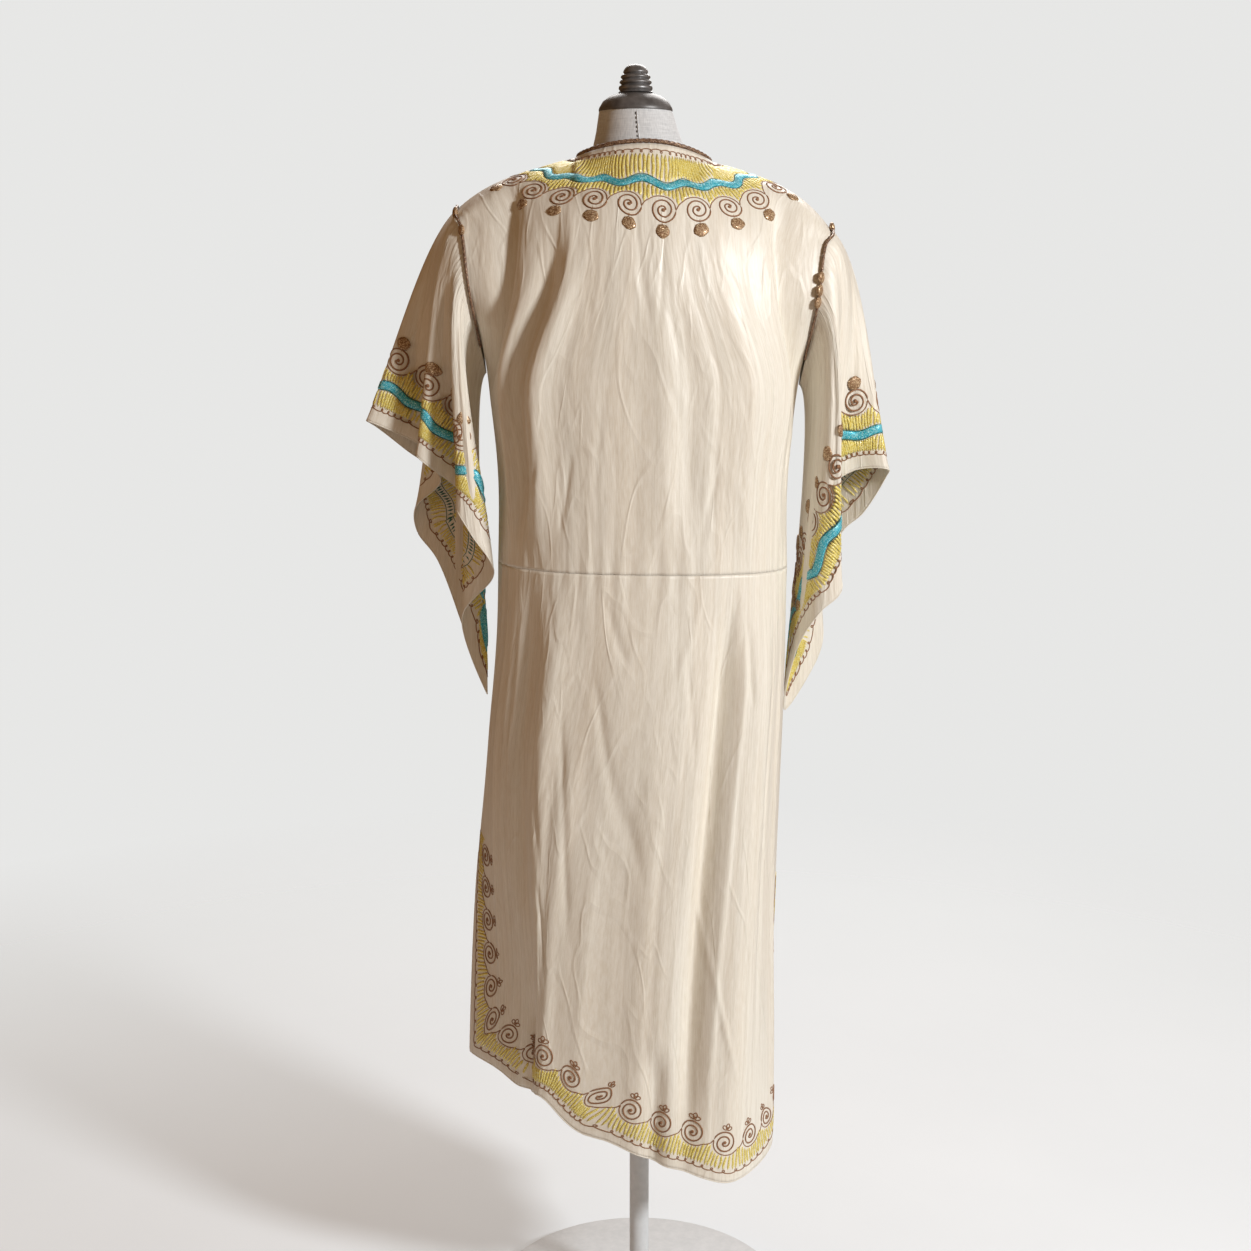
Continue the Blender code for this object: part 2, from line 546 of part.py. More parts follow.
def add_cord_loop(name, points, radius, closed, collection, material):
    """Braid: a tube along a line of points, as a curve that becomes a closed mesh."""
    line = bpy.data.curves.new(name + " line", "CURVE")
    line.dimensions = "3D"
    line.bevel_depth = radius
    line.bevel_resolution = 1
    line.use_fill_caps = True
    spline = line.splines.new("POLY")
    spline.points.add(len(points) - 1)
    spline.points.foreach_set("co", np.column_stack([points, np.ones(len(points))]).ravel())
    spline.use_cyclic_u = closed
    guide = bpy.data.objects.new(name + " guide", line)
    collection.objects.link(guide)
    evaluated = guide.evaluated_get(bpy.context.evaluated_depsgraph_get())
    mesh = bpy.data.meshes.new_from_object(evaluated)
    bpy.data.objects.remove(guide)
    tidy = bmesh.new()
    tidy.from_mesh(mesh)
    bmesh.ops.remove_doubles(tidy, verts=tidy.verts, dist=1e-6)
    bmesh.ops.recalc_face_normals(tidy, faces=tidy.faces)
    tidy.to_mesh(mesh)
    tidy.free()
    mesh.shade_smooth()
    return add_piece(name, mesh, collection, material)


def add_neck_braid(collection, material):
    """Braid on the neckline's edge, all the way round, with a point at each column of the panels.

    It stands steeply on the back's and the front's edge, and leans to the neck on the shoulders.
    """
    columns = panel_columns()
    neckline = columns[np.abs(columns) < NECK_SHARE + 1e-6][:-1]
    edges = []
    for facing, order in ((-1, 1), (1, -1)):
        edges.append(part_panels(bodice(facing, neckline * order, np.array([1.0])), facing)[0])
    edge = np.concatenate(edges)
    inward = np.array([NECK_CENTRE_X, 0.0]) - edge[:, :2]
    inward = inward / np.linalg.norm(inward, axis=-1, keepdims=True)
    share = np.abs(np.concatenate([neckline, neckline])) / NECK_SHARE
    rise = NECK_BRAID_RISE + (NECK_POINT_BRAID_RISE - NECK_BRAID_RISE) * share ** 3
    leaving = np.column_stack([inward * np.cos(rise)[:, None], np.sin(rise)])
    ring = edge + leaving * (BRAID_GAP + NECK_BRAID_RADIUS)
    add_cord_loop("neck_braid", ring, NECK_BRAID_RADIUS, True, collection, material)


def add_armhole_braids(collection, material):
    """Braid over each armhole seam, from near the underarm over the shoulder and down again.

    It lies in the angle between the bodice and the sleeve, the same distance from both.
    """
    stand_off = WALL / 2 + BRAID_GAP + ARMHOLE_BRAID_RADIUS
    for side, shoulder in SHOULDERS.items():
        loop, leaving, share = edge_loop(side)
        half = len(loop) // 2
        front = np.arange(half + ARMHOLE_BRAID_STOPS_SHORT, 2 * half - 1)
        back = np.arange(0, half - ARMHOLE_BRAID_STOPS_SHORT)
        order = np.concatenate([front, back])
        seam, leaving, share = loop[order], leaving[order], share[order]
        run = np.gradient(seam, axis=0)
        sides = []
        for direction in (leaving, sleeve_direction(side, share)):
            away = np.cross(direction, run) * -shoulder.sign
            sides.append(away / np.linalg.norm(away, axis=-1, keepdims=True))
        middle = sides[0] + sides[1]
        middle = middle / np.linalg.norm(middle, axis=-1, keepdims=True)
        lift = stand_off / np.sum(middle * sides[0], axis=-1)[:, None]
        add_cord_loop("armhole_braid_" + side, seam + middle * lift, ARMHOLE_BRAID_RADIUS, False,
                      collection, material)


def add_torso(collection, material):
    """The dress form's torso: a loft through its rings, closed at the neck and at the bottom."""
    turn = np.linspace(0, 2 * math.pi, TORSO_SIDES, endpoint=False)
    rings = []
    for ring in TORSO_RINGS:
        cosine, sine = np.cos(turn), np.sin(turn)
        x = ring.centre_x + ring.half_width * np.sign(cosine) * np.abs(cosine) ** ring.squareness
        y = ring.centre_y + ring.half_depth * np.sign(sine) * np.abs(sine) ** ring.squareness
        rings.append(np.stack([x, y, np.full_like(x, ring.height)], axis=-1))
    mesh = grid_mesh("torso_form", np.array(rings)[::-1], closed_across=True)
    solid = bmesh.new()
    solid.from_mesh(mesh)
    bmesh.ops.holes_fill(solid, edges=[edge for edge in solid.edges if edge.is_boundary], sides=0)
    bmesh.ops.recalc_face_normals(solid, faces=solid.faces)
    solid.to_mesh(mesh)
    solid.free()
    mesh.set_sharp_from_angle(angle=math.radians(50))
    return add_piece("torso_form", mesh, collection, material)


def add_turned(name, outline, centre, collection, material):
    """A turned piece: its outline is swept round the axis by a Screw modifier."""
    mesh = bpy.data.meshes.new(name)
    points = [(turn.radius, 0.0, turn.height) for turn in outline]
    mesh.from_pydata(points, [(i, i + 1) for i in range(len(points) - 1)], [])
    piece = add_piece(name, mesh, collection, material)
    piece.location = (*centre, 0.0)
    screw = piece.modifiers.new("turn", "SCREW")
    screw.steps = TURNED_SIDES
    screw.render_steps = TURNED_SIDES
    screw.use_merge_vertices = True
    screw.merge_threshold = 1e-5
    return piece


def add_stand(collection, metal, paint):
    """Cap and finial on the neck, and the collar, pole and base that carry the torso."""
    add_turned("neck_cap", CAP_OUTLINE, CAP_CENTRE, collection, metal)
    add_turned("finial", FINIAL_OUTLINE, CAP_CENTRE, collection, metal)
    add_turned("pole_collar", COLLAR_OUTLINE, (0.0, 0.0), collection, paint)
    pole = (Turn(0.0, POLE_TOP), Turn(POLE_RADIUS, POLE_TOP),
            Turn(POLE_RADIUS, BASE_HEIGHT + SEAM_GAP), Turn(0.0, BASE_HEIGHT + SEAM_GAP))
    add_turned("stand_pole", pole, (0.0, 0.0), collection, paint)
    add_turned("stand_base", BASE_OUTLINE, (0.0, 0.0), collection, paint)


def build():
    """Clear the scene and make the whole model."""
    for thing in list(bpy.data.objects):
        bpy.data.objects.remove(thing)
    collection = bpy.data.collections.new("caftan_on_dress_form")
    bpy.context.scene.collection.children.link(collection)
    cloth = simple_material("cream satin", (0.80, 0.74, 0.64), 0.45)
    braid = simple_material("bronze braid", (0.20, 0.10, 0.05), 0.50)
    canvas = simple_material("form canvas", (0.66, 0.65, 0.62), 0.80)
    metal = simple_material("grey cap metal", (0.18, 0.17, 0.16), 0.40, 0.8)
    paint = simple_material("stand paint", (0.75, 0.75, 0.73), 0.45)
    add_panels(collection, cloth)
    add_sleeves(collection, cloth)
    add_neck_braid(collection, braid)
    add_armhole_braids(collection, braid)
    add_torso(collection, canvas)
    add_stand(collection, metal, paint)


build()
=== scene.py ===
# %% [markdown]
# # A caftan on its dress form
#
# A cream satin caftan hangs on a limbless dress form and shows its back. Yellow, turquoise and
# bronze thread runs round the neck, the wide sleeves, the slits and the hem. This notebook loads the
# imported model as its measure, lays finer cloth on the same sizes, and then stitches on that cloth.

# %% Load the measured model
import math
from collections import namedtuple

import bmesh
import bpy
import numpy as np
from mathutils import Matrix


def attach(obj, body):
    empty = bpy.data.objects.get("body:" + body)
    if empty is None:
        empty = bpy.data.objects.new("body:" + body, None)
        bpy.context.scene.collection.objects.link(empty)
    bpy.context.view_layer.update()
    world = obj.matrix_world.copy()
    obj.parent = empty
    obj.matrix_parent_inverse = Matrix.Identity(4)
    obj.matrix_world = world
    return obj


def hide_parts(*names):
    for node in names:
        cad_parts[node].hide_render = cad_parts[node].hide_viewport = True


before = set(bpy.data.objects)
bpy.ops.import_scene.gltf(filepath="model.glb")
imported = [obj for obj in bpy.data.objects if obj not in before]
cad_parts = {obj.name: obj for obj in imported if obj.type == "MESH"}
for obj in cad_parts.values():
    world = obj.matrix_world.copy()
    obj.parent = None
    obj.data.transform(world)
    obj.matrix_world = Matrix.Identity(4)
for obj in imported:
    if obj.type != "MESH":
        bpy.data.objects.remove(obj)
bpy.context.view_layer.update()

print("nodes", sorted(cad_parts))

# %% [markdown]
# The camera stands at the height of the shoulder blades, 2.25 m behind the garment, and looks down by
# ten degrees. A real lens at that place draws the hem as a curve and the shoulders nearly level, so
# the distance matters as much as the angle.

# %% Camera


def placed(name, data):
    """A new object for a mesh, a lamp or a camera, linked into the scene."""
    made = bpy.data.objects.new(name, data)
    bpy.context.scene.collection.objects.link(made)
    return made


camera_data = bpy.data.cameras.new("camera")
camera_data.lens = 53.0
camera_data.sensor_width = 36.0
camera = placed("camera", camera_data)
camera.location = (-0.018, -2.25, 1.32)
camera.rotation_euler = (math.radians(79.7), 0.0, 0.0)
bpy.context.scene.camera = camera
print("camera", round(-camera.location.y, 2), "m behind the garment")

# %% [markdown]
# ## The sizes of the cut
#
# The cloth follows the measured model, so its tables are written out again, as a maker's pattern sheet
# would have them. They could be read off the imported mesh, but a table keeps the curve between two of
# its rows smooth at any fineness. The bodices come first: a level every hand's breadth from the waist
# seam up, then the neckline and the two shoulder seams. Lengths are in metres.

# %% Sizes of the bodices
ROUNDNESS = 0.80
BELL_FLATNESS = 0.70
BODY_CENTRE_X = 0.003
WAIST_HEIGHT = 0.992
WAIST_TILT = 0.004
NECK_SHARE = 0.40
NECK_CENTRE_X = 0.004
NECK_HALF_WIDTH = 0.081
NECK_POINT_HEIGHT = 1.4725
NECK_POINT_TILT = 0.0025
NAPE_DEPTH = 0.053
NAPE_HEIGHT = 1.488
SCOOP_DEPTH = 0.098
SCOOP_HEIGHT = 1.412
PANEL_SHIFT = 0.0004


def table(kind, *rows):
    """Rows of plain values, each with its columns named by its kind."""
    return tuple(kind(*row) for row in rows)


Shoulder = namedtuple("Shoulder", "sign x height even_drop late_drop")
SHOULDERS = {
    "left": Shoulder(-1, -0.2165, 1.417, 0.036, 0.022),
    "right": Shoulder(1, 0.2250, 1.394, 0.040, 0.036),
}
Level = namedtuple("Level", "name along height edge_height half_width edge_y middle_y spread tilt")
BACK_LEVELS = table(Level,
    ("waist", 0.000, 0.992, 0.992, 0.176, 0.000, -0.116, 0.0, 0.004),
    ("ribs", 0.108, 1.100, 1.100, 0.176, 0.000, -0.118, 0.0, 0.005),
    ("underarm", 0.223, 1.215, 1.215, 0.187, -0.004, -0.122, 0.0, 0.007),
    ("blade", 0.338, 1.330, 1.312, 0.204, -0.058, -0.122, 0.8, 0.008),
    ("yoke", 0.436, 1.425, 1.382, 0.213, -0.046, -0.094, 1.0, 0.010),
)
FRONT_LEVELS = table(Level,
    ("waist", 0.000, 0.992, 0.992, 0.176, 0.000, 0.112, 0.0, 0.004),
    ("ribs", 0.108, 1.100, 1.100, 0.176, 0.000, 0.124, 0.0, 0.005),
    ("underarm", 0.223, 1.215, 1.215, 0.187, 0.004, 0.136, 0.0, 0.007),
    ("chest", 0.338, 1.320, 1.312, 0.204, 0.054, 0.132, 0.8, 0.008),
    ("yoke", 0.425, 1.380, 1.378, 0.213, 0.044, 0.112, 1.0, 0.010),
)
CREST_ALONG = 0.490
TOP_ALONG = 0.525
CREST_AT_SHOULDER = (0.030, 0.010)
CREST_AT_NECK = (0.018, 0.034)
SCOOP_CREST_AT_NECK = (0.008, 0.020)
NECK_BLEND = 0.3
EDGE_FADE = 0.96
print("bodice levels", len(BACK_LEVELS), "behind and", len(FRONT_LEVELS), "in front")

# %% [markdown]
# The skirt widens, squares up and turns a little from the waist down, so its table has whole sections.
# Its hem slants: it is high at the left slit, lowest right of the middle, and each row gives a height
# at a place across the panel, from -1 at the left slit to 1 at the right one. The free corners below
# the slits swing back, which a few single numbers say.

# %% Sizes of the skirt
SkirtLevel = namedtuple("SkirtLevel", "along centre_x half_width back_y front_y turn squareness")
SKIRT_LEVELS = table(SkirtLevel,
    (0.00, 0.003, 0.176, -0.116, 0.112, 0.0, 0.80),
    (0.15, 0.001, 0.178, -0.118, 0.114, -1.5, 0.79),
    (0.35, -0.006, 0.183, -0.122, 0.117, -5.0, 0.76),
    (0.66, -0.020, 0.193, -0.128, 0.119, -10.0, 0.69),
    (1.00, -0.026, 0.198, -0.135, 0.120, -13.0, 0.62),
)
SLIT_START = 0.60
SLIT_OPENING = 0.014
SLIT_OPENS_ACROSS = 0.8
SKIRT_FOLDS_AT_WAIST = 0.25
SKIRT_FOLDS_FULL = 0.2
LEFT_FLARE = 0.92
LEFT_FLARE_START = 0.28
LEFT_FLARE_END = 0.85
LEFT_FLARE_ACROSS = 0.45
LEFT_SWING = 0.050
LEFT_SWING_ACROSS = 0.4
LEFT_SWING_POWER = 1.5
RIGHT_SWING = 0.070
RIGHT_SWING_START = 0.15
RIGHT_SWING_ACROSS = 0.45
FRONT_SWINGS_BELOW = 0.072
RIGHT_CORNER = 0.023
RIGHT_CORNER_START = 0.28
RIGHT_CORNER_ACROSS = 0.78
RIGHT_CORNER_WIDTH = 0.20
HemPoint = namedtuple("HemPoint", "across height")
BACK_HEM = table(HemPoint,
    (-1.0, 0.354), (-0.7, 0.351), (-0.45, 0.336), (-0.25, 0.342),
    (-0.1, 0.333), (0.0, 0.295), (0.1, 0.273), (0.25, 0.259),
    (0.55, 0.240), (0.8, 0.257), (1.0, 0.286),
)
FRONT_HEM = table(HemPoint,
    (-1.0, 0.356), (-0.4, 0.318), (0.3, 0.292), (1.0, 0.288),
)
print("hem from", min(BACK_HEM, key=lambda point: point.height).height, "m above the floor")

# %% [markdown]
# A wing sleeve is one wide piece, folded like a fan under the shoulder. Its shape is settled by where
# its hem runs, so the hem is a closed table, measured outward, back and down from the shoulder. It
# starts at the end of the top fold, goes down through the ridges and valleys that show, turns at the
# low tip beside the body, and comes up again in front.

# %% Sizes of the sleeves' hems
HemRow = namedtuple("HemRow", "name out back down")
SLEEVE_HEMS = {
    "left": table(HemRow,
        ("end of the top fold", 0.116, 0.004, 0.252),
        ("first valley", 0.048, 0.002, 0.284),
        ("first ridge", 0.053, 0.032, 0.292),
        ("second valley", 0.001, 0.017, 0.338),
        ("second ridge", 0.004, 0.054, 0.353),
        ("bright panel", -0.014, 0.058, 0.385),
        ("turn beside the body", -0.039, 0.046, 0.432),
        ("outer turn", 0.003, 0.012, 0.493),
        ("low tip", -0.025, -0.010, 0.595),
        ("front, low", 0.005, -0.032, 0.515),
        ("front, middle", 0.038, -0.042, 0.428),
        ("front, outer turn begins", 0.063, -0.049, 0.394),
        ("front, outer turn ends", 0.064, -0.041, 0.364),
        ("front, inner turn", 0.030, -0.022, 0.326),
        ("front, high", 0.074, -0.018, 0.287),
        ("behind the top fold", 0.107, -0.012, 0.260),
    ),
    "right": table(HemRow,
        ("end of the top fold", 0.077, 0.004, 0.288),
        ("outer panel", 0.034, -0.002, 0.291),
        ("hidden valley", -0.012, 0.006, 0.335),
        ("long ridge", 0.019, 0.047, 0.429),
        ("inner panel", -0.007, 0.050, 0.457),
        ("beside the body", -0.030, 0.018, 0.505),
        ("low tip", -0.038, -0.058, 0.603),
        ("front, low", -0.012, -0.060, 0.564),
        ("front, outer turn", 0.008, -0.064, 0.518),
        ("front, hidden turn", 0.008, -0.073, 0.446),
        ("front, middle", 0.030, -0.056, 0.373),
        ("front, high", 0.054, -0.042, 0.347),
        ("front, beside the top fold", 0.078, -0.018, 0.300),
    ),
}
LOW_TIP = "low tip"
SLEEVE_SEAM_GAP = 0.0006
SOLID_WALL = 0.0016
SleeveSet = namedtuple("SleeveSet", "out out_wave apart down down_wave")
SLEEVE_SET = SleeveSet(0.82, 0.02, 0.25, 0.55, 0.05)
SLEEVE_LEAVES = 0.39
SLEEVE_LEAVES_WAVE = 0.20
SLEEVE_ARRIVES = 0.88
SLEEVE_LEAST_COSINE = 0.45
for side, rows in SLEEVE_HEMS.items():
    print(side, "sleeve's hem", len(rows), "points")

# %% [markdown]
# ## Folds
#
# Each row of a fold table is one soft ridge or trough: where it starts and ends across the panel,
# how far it runs, how wide it is and how high. A drape could be simulated instead, but the folds of
# this garment are known one by one, so each is set where it hangs. The first rows of a bodice's or a
# skirt's table are the large folds of the measured model, whose sleeves need none. The rows after
# them, and all rows for the sleeves, are finer creases that only the cloth here has.

# %% Fold tables
Fold = namedtuple("Fold", "name across_start across_end start end half_width height")
BACK_BODICE_FOLDS = table(Fold,
    ("long left ridge", -0.48, -0.34, -0.10, 0.80, 0.070, 0.010),
    ("valley beside it", -0.60, -0.47, -0.10, 0.86, 0.060, -0.010),
    ("outer left ridge", -0.70, -0.60, -0.10, 0.74, 0.050, 0.007),
    ("middle ridge", 0.05, 0.06, -0.10, 0.72, 0.045, 0.003),
    ("middle valley", 0.16, 0.12, -0.10, 0.70, 0.050, -0.0035),
    ("right band", 0.44, 0.42, -0.10, 0.80, 0.100, 0.007),
    ("left armhole hollow", -0.84, -0.74, 0.36, 0.98, 0.070, -0.018),
    ("right armhole hollow", 0.88, 0.76, 0.30, 0.98, 0.075, -0.016),
    ("crease under the yoke, left", 0.03, -0.06, 0.52, 0.84, 0.009, -0.0012),
    ("crease under the yoke, right", 0.03, 0.15, 0.50, 0.86, 0.009, -0.0013),
    ("crease beside the middle", 0.10, 0.14, 0.30, 0.74, 0.012, 0.0010),
    ("soft line in the middle", -0.03, 0.00, -0.05, 0.50, 0.016, -0.0008),
    ("soft line right of it", 0.26, 0.24, -0.05, 0.64, 0.020, -0.0012),
    ("sharp line on the right band", 0.58, 0.55, 0.05, 0.80, 0.014, -0.0018),
    ("line by the right side", 0.74, 0.70, -0.05, 0.66, 0.022, 0.0018),
    ("fine line left", -0.44, -0.36, 0.30, 0.86, 0.012, 0.0012),
    ("short slanting line, low left", -0.52, -0.40, 0.04, 0.30, 0.012, -0.0014),
    ("short slanting line, middle", -0.16, -0.10, 0.16, 0.44, 0.010, -0.0010),
    ("short crease above the waist", 0.18, 0.28, 0.04, 0.26, 0.013, -0.0018),
    ("short crease above the waist, left", -0.34, -0.24, 0.05, 0.30, 0.014, -0.0018),
    ("short crease at the left side", -0.86, -0.72, 0.02, 0.36, 0.022, -0.0026),
    ("short crease at the right side", 0.90, 0.78, 0.04, 0.34, 0.022, -0.0024),
)
FRONT_BODICE_FOLDS = table(Fold,
    ("left drape", -0.42, -0.36, -0.10, 0.62, 0.080, 0.008),
    ("middle hollow", 0.05, 0.02, -0.10, 0.50, 0.120, -0.010),
    ("right drape", 0.50, 0.42, -0.10, 0.62, 0.080, 0.009),
    ("left armhole hollow", -0.84, -0.76, 0.36, 0.98, 0.070, -0.014),
    ("right armhole hollow", 0.84, 0.76, 0.36, 0.98, 0.070, -0.014),
    ("soft line left", -0.20, -0.16, -0.05, 0.60, 0.018, -0.0018),
    ("soft line right", 0.24, 0.18, -0.05, 0.56, 0.018, -0.0016),
    ("fine line left", -0.62, -0.54, 0.00, 0.60, 0.014, 0.0018),
    ("fine line right", 0.66, 0.58, 0.02, 0.64, 0.014, 0.0016),
    ("short crease left", -0.88, -0.74, 0.02, 0.34, 0.020, -0.0022),
    ("short crease right", 0.86, 0.74, 0.02, 0.38, 0.020, -0.0022),
)
BACK_SKIRT_FOLDS = table(Fold,
    ("left shaded valley", -0.52, -0.44, -0.10, 0.70, 0.060, -0.009),
    ("left soft ridge", -0.34, -0.26, -0.10, 1.10, 0.075, 0.007),
    ("middle swell", 0.05, 0.02, -0.10, 1.10, 0.160, 0.006),
    ("long right valley", 0.37, 0.25, -0.10, 1.10, 0.055, -0.018),
    ("right band", 0.58, 0.52, -0.10, 1.10, 0.110, 0.009),
    ("left hem pinch", -0.42, -0.47, 0.78, 1.12, 0.045, -0.006),
    ("right hem pinch", 0.14, 0.12, 0.78, 1.12, 0.035, -0.009),
    ("diagonal crease, high", -0.14, 0.08, 0.16, 0.56, 0.014, -0.0022),
    ("diagonal crease, low", -0.26, -0.06, 0.22, 0.72, 0.014, -0.0022),
    ("diagonal crease, left", -0.44, -0.26, 0.14, 0.60, 0.016, -0.0024),
    ("long fine line, left", -0.60, -0.58, 0.00, 0.90, 0.018, -0.0024),
    ("long fine ridge, left", -0.70, -0.70, 0.05, 1.05, 0.020, 0.0024),
    ("line beside the valley", 0.46, 0.36, 0.00, 1.00, 0.016, 0.0026),
    ("line on the right band", 0.66, 0.62, 0.02, 0.86, 0.014, -0.0022),
    ("line by the right side", 0.80, 0.76, 0.02, 1.06, 0.020, 0.0026),
    ("soft ridge, left of the middle", -0.18, -0.15, 0.22, 1.08, 0.050, 0.0042),
    ("soft trough, middle", 0.00, 0.03, 0.28, 1.06, 0.045, -0.0040),
    ("fine line, middle", 0.12, 0.10, 0.30, 0.96, 0.014, -0.0018),
    ("fine line, middle left", -0.04, -0.02, 0.44, 1.00, 0.014, 0.0018),
    ("long slanting crease", 0.24, 0.54, 0.48, 0.86, 0.013, 0.0022),
    ("short crease below the waist", -0.38, -0.30, 0.02, 0.16, 0.012, -0.0014),
    ("short crease, left of the valley", 0.14, 0.22, 0.10, 0.34, 0.012, -0.0014),
    ("short crease, low left", -0.30, -0.16, 0.56, 0.80, 0.012, -0.0016),
    ("short crease, waist middle", -0.12, -0.02, 0.03, 0.17, 0.014, -0.0024),
    ("short crease, waist right", 0.22, 0.10, 0.02, 0.19, 0.013, 0.0022),
    ("short crease, right of the valley", 0.44, 0.50, 0.04, 0.24, 0.014, -0.0024),
)
FRONT_SKIRT_FOLDS = table(Fold,
    ("left drape", -0.46, -0.50, -0.10, 1.10, 0.080, 0.010),
    ("left valley", -0.20, -0.24, -0.10, 1.10, 0.070, -0.012),
    ("middle drape", 0.06, 0.08, -0.10, 1.10, 0.080, 0.008),
    ("right valley", 0.34, 0.36, -0.10, 1.10, 0.070, -0.013),
    ("right drape", 0.60, 0.62, -0.10, 1.10, 0.070, 0.009),
    ("diagonal crease left", -0.30, -0.08, 0.10, 0.60, 0.016, -0.0020),
    ("diagonal crease right", 0.44, 0.22, 0.16, 0.66, 0.016, -0.0022),
    ("fine line left", -0.66, -0.68, 0.02, 0.96, 0.018, -0.0024),
    ("fine line right", 0.78, 0.76, 0.02, 1.00, 0.018, 0.0024),
    ("fine line middle", -0.02, 0.00, 0.30, 1.00, 0.014, 0.0018),
)
SLEEVE_FOLDS = {
    "left": table(Fold,
        ("line on the outer panel", 0.030, 0.050, 0.20, 1.05, 0.010, -0.0022),
        ("line on the middle panel", 0.150, 0.150, 0.25, 0.95, 0.010, -0.0020),
        ("line on the bright panel", 0.275, 0.262, 0.15, 0.90, 0.010, 0.0020),
        ("line under the arm", 0.620, 0.640, 0.20, 0.95, 0.014, -0.0022),
        ("line in front", 0.800, 0.790, 0.20, 0.95, 0.014, 0.0022),
    ),
    "right": table(Fold,
        ("line on the outer panel", 0.045, 0.055, 0.20, 1.00, 0.010, -0.0020),
        ("line on the inner panel", 0.270, 0.262, 0.20, 1.00, 0.010, -0.0022),
        ("line beside the body", 0.345, 0.350, 0.25, 0.95, 0.012, 0.0020),
        ("line under the arm", 0.640, 0.655, 0.20, 0.95, 0.014, -0.0020),
        ("line in front", 0.820, 0.810, 0.20, 0.95, 0.014, 0.0022),
    ),
}
SEAM_BLEND = 0.11
Gathers = namedtuple("Gathers", "count drift drift_rate drift_start jitter jitter_rate height fall "
                                "even swell swell_rate swell_start")
WAIST_GATHERS = Gathers(
    count=27, drift=1.7, drift_rate=5.1, drift_start=0.8, jitter=0.9, jitter_rate=11.7,
    height=0.0011, fall=0.034, even=0.55, swell=0.45, swell_rate=7.3, swell_start=1.9)
FOLD_FADES_IN = 0.25
FOLD_FADES_OUT = 0.70
BODICE_FOLDS_END = 0.90
print("folds on the back", len(BACK_BODICE_FOLDS) + len(BACK_SKIRT_FOLDS))

# %% [markdown]
# ## Surfaces from tables
#
# Every cloth surface is worked out for whole arrays at once. A smooth curve runs through the rows of
# a table, and the folds are added as bells that fade at both ends.

# %% Curves and folds


def lengths(points):
    """How far along a line each of its points lies: the sum of the straight steps before it."""
    return np.concatenate([[0], np.cumsum(np.linalg.norm(np.diff(points, axis=0), axis=1))])


def through(knots, values, at):
    """Smooth curve through values at rising knots: cubic pieces with the slopes of their neighbours."""
    knots = np.asarray(knots, float)
    values = np.asarray(values, float)
    at = np.asarray(at, float)
    slopes = np.gradient(values, knots, axis=0)
    piece = np.clip(np.searchsorted(knots, at, side="right") - 1, 0, len(knots) - 2)
    width = knots[piece + 1] - knots[piece]
    t = (at - knots[piece]) / width
    grow = (...,) + (None,) * (values.ndim - 1)
    t, width = t[grow], width[grow]
    start = (1 + 2 * t) * (1 - t) ** 2 * values[piece] + t * (1 - t) ** 2 * width * slopes[piece]
    end = t * t * (3 - 2 * t) * values[piece + 1] - t * t * (1 - t) * width * slopes[piece + 1]
    return start + end


def ease(value, low, high):
    """0 below low, 1 above high, and a soft S between them."""
    t = np.clip((value - low) / (high - low), 0.0, 1.0)
    return t * t * (3 - 2 * t)


def fold_height(folds, across, along):
    """Sum of the folds: each is a bell across a line, and fades near its two ends."""
    total = np.zeros(np.broadcast(across, along).shape)
    for fold in folds:
        share = np.clip((along - fold.start) / (fold.end - fold.start), 0.0, 1.0)
        centre = fold.across_start + (fold.across_end - fold.across_start) * share
        fade = ease(share, 0.0, FOLD_FADES_IN) * (1 - ease(share, FOLD_FADES_OUT, 1.0))
        total = total + fold.height * np.exp(-((across - centre) / fold.half_width) ** 2) * fade
    return total


def gather_height(across, from_seam):
    """Small gathers at the waist seam: a wave of drifting pitch that dies away from the seam."""
    sewn = WAIST_GATHERS
    drift = sewn.drift * np.sin(sewn.drift_rate * across + sewn.drift_start)
    drift = drift + sewn.jitter * np.sin(sewn.jitter_rate * across)
    wave = np.sin(math.pi * sewn.count * across + drift)
    uneven = sewn.even + sewn.swell * np.sin(sewn.swell_rate * across + sewn.swell_start)
    return sewn.height * wave * uneven * np.exp(-from_seam / sewn.fall)


def outward(across, facing, height):
    """Push out from the body's axis: a turn of a quarter circle from the middle to each edge."""
    angle = across * math.pi / 2
    return np.stack([np.sin(angle) * height, facing * np.cos(angle) * height, 0 * height], axis=-1)


def unit(vectors):
    """Vectors of length one."""
    return vectors / np.maximum(np.linalg.norm(vectors, axis=-1, keepdims=True), 1e-12)


# %% [markdown]
# A bodice panel is a stack of curves. Each level is a flattened half ellipse that may open into a
# bell, as a back does between the shoulder blades. The top edge is the neckline's arc and the two
# shoulder seams. Columns run smoothly through the levels, over a crest, and end on that edge.

# %% Bodice surface


def bodice_section(level, across):
    """One level of a bodice, from its left edge (-1) to its right edge (1)."""
    angle = across * math.pi / 2
    round_x = np.sign(across) * np.abs(np.sin(angle)) ** ROUNDNESS
    round_y = np.abs(np.cos(angle)) ** ROUNDNESS
    bell = np.clip(0.5 + 0.5 * np.cos(math.pi * across), 0, 1) ** BELL_FLATNESS
    x = BODY_CENTRE_X + level.half_width * ((1 - level.spread) * round_x + level.spread * across)
    rise = (1 - level.spread) * round_y + level.spread * bell
    y = level.edge_y + (level.middle_y - level.edge_y) * rise
    z = level.edge_height + (level.height - level.edge_height) * np.cos(angle) - level.tilt * across
    return np.stack([x, y, z], axis=-1)


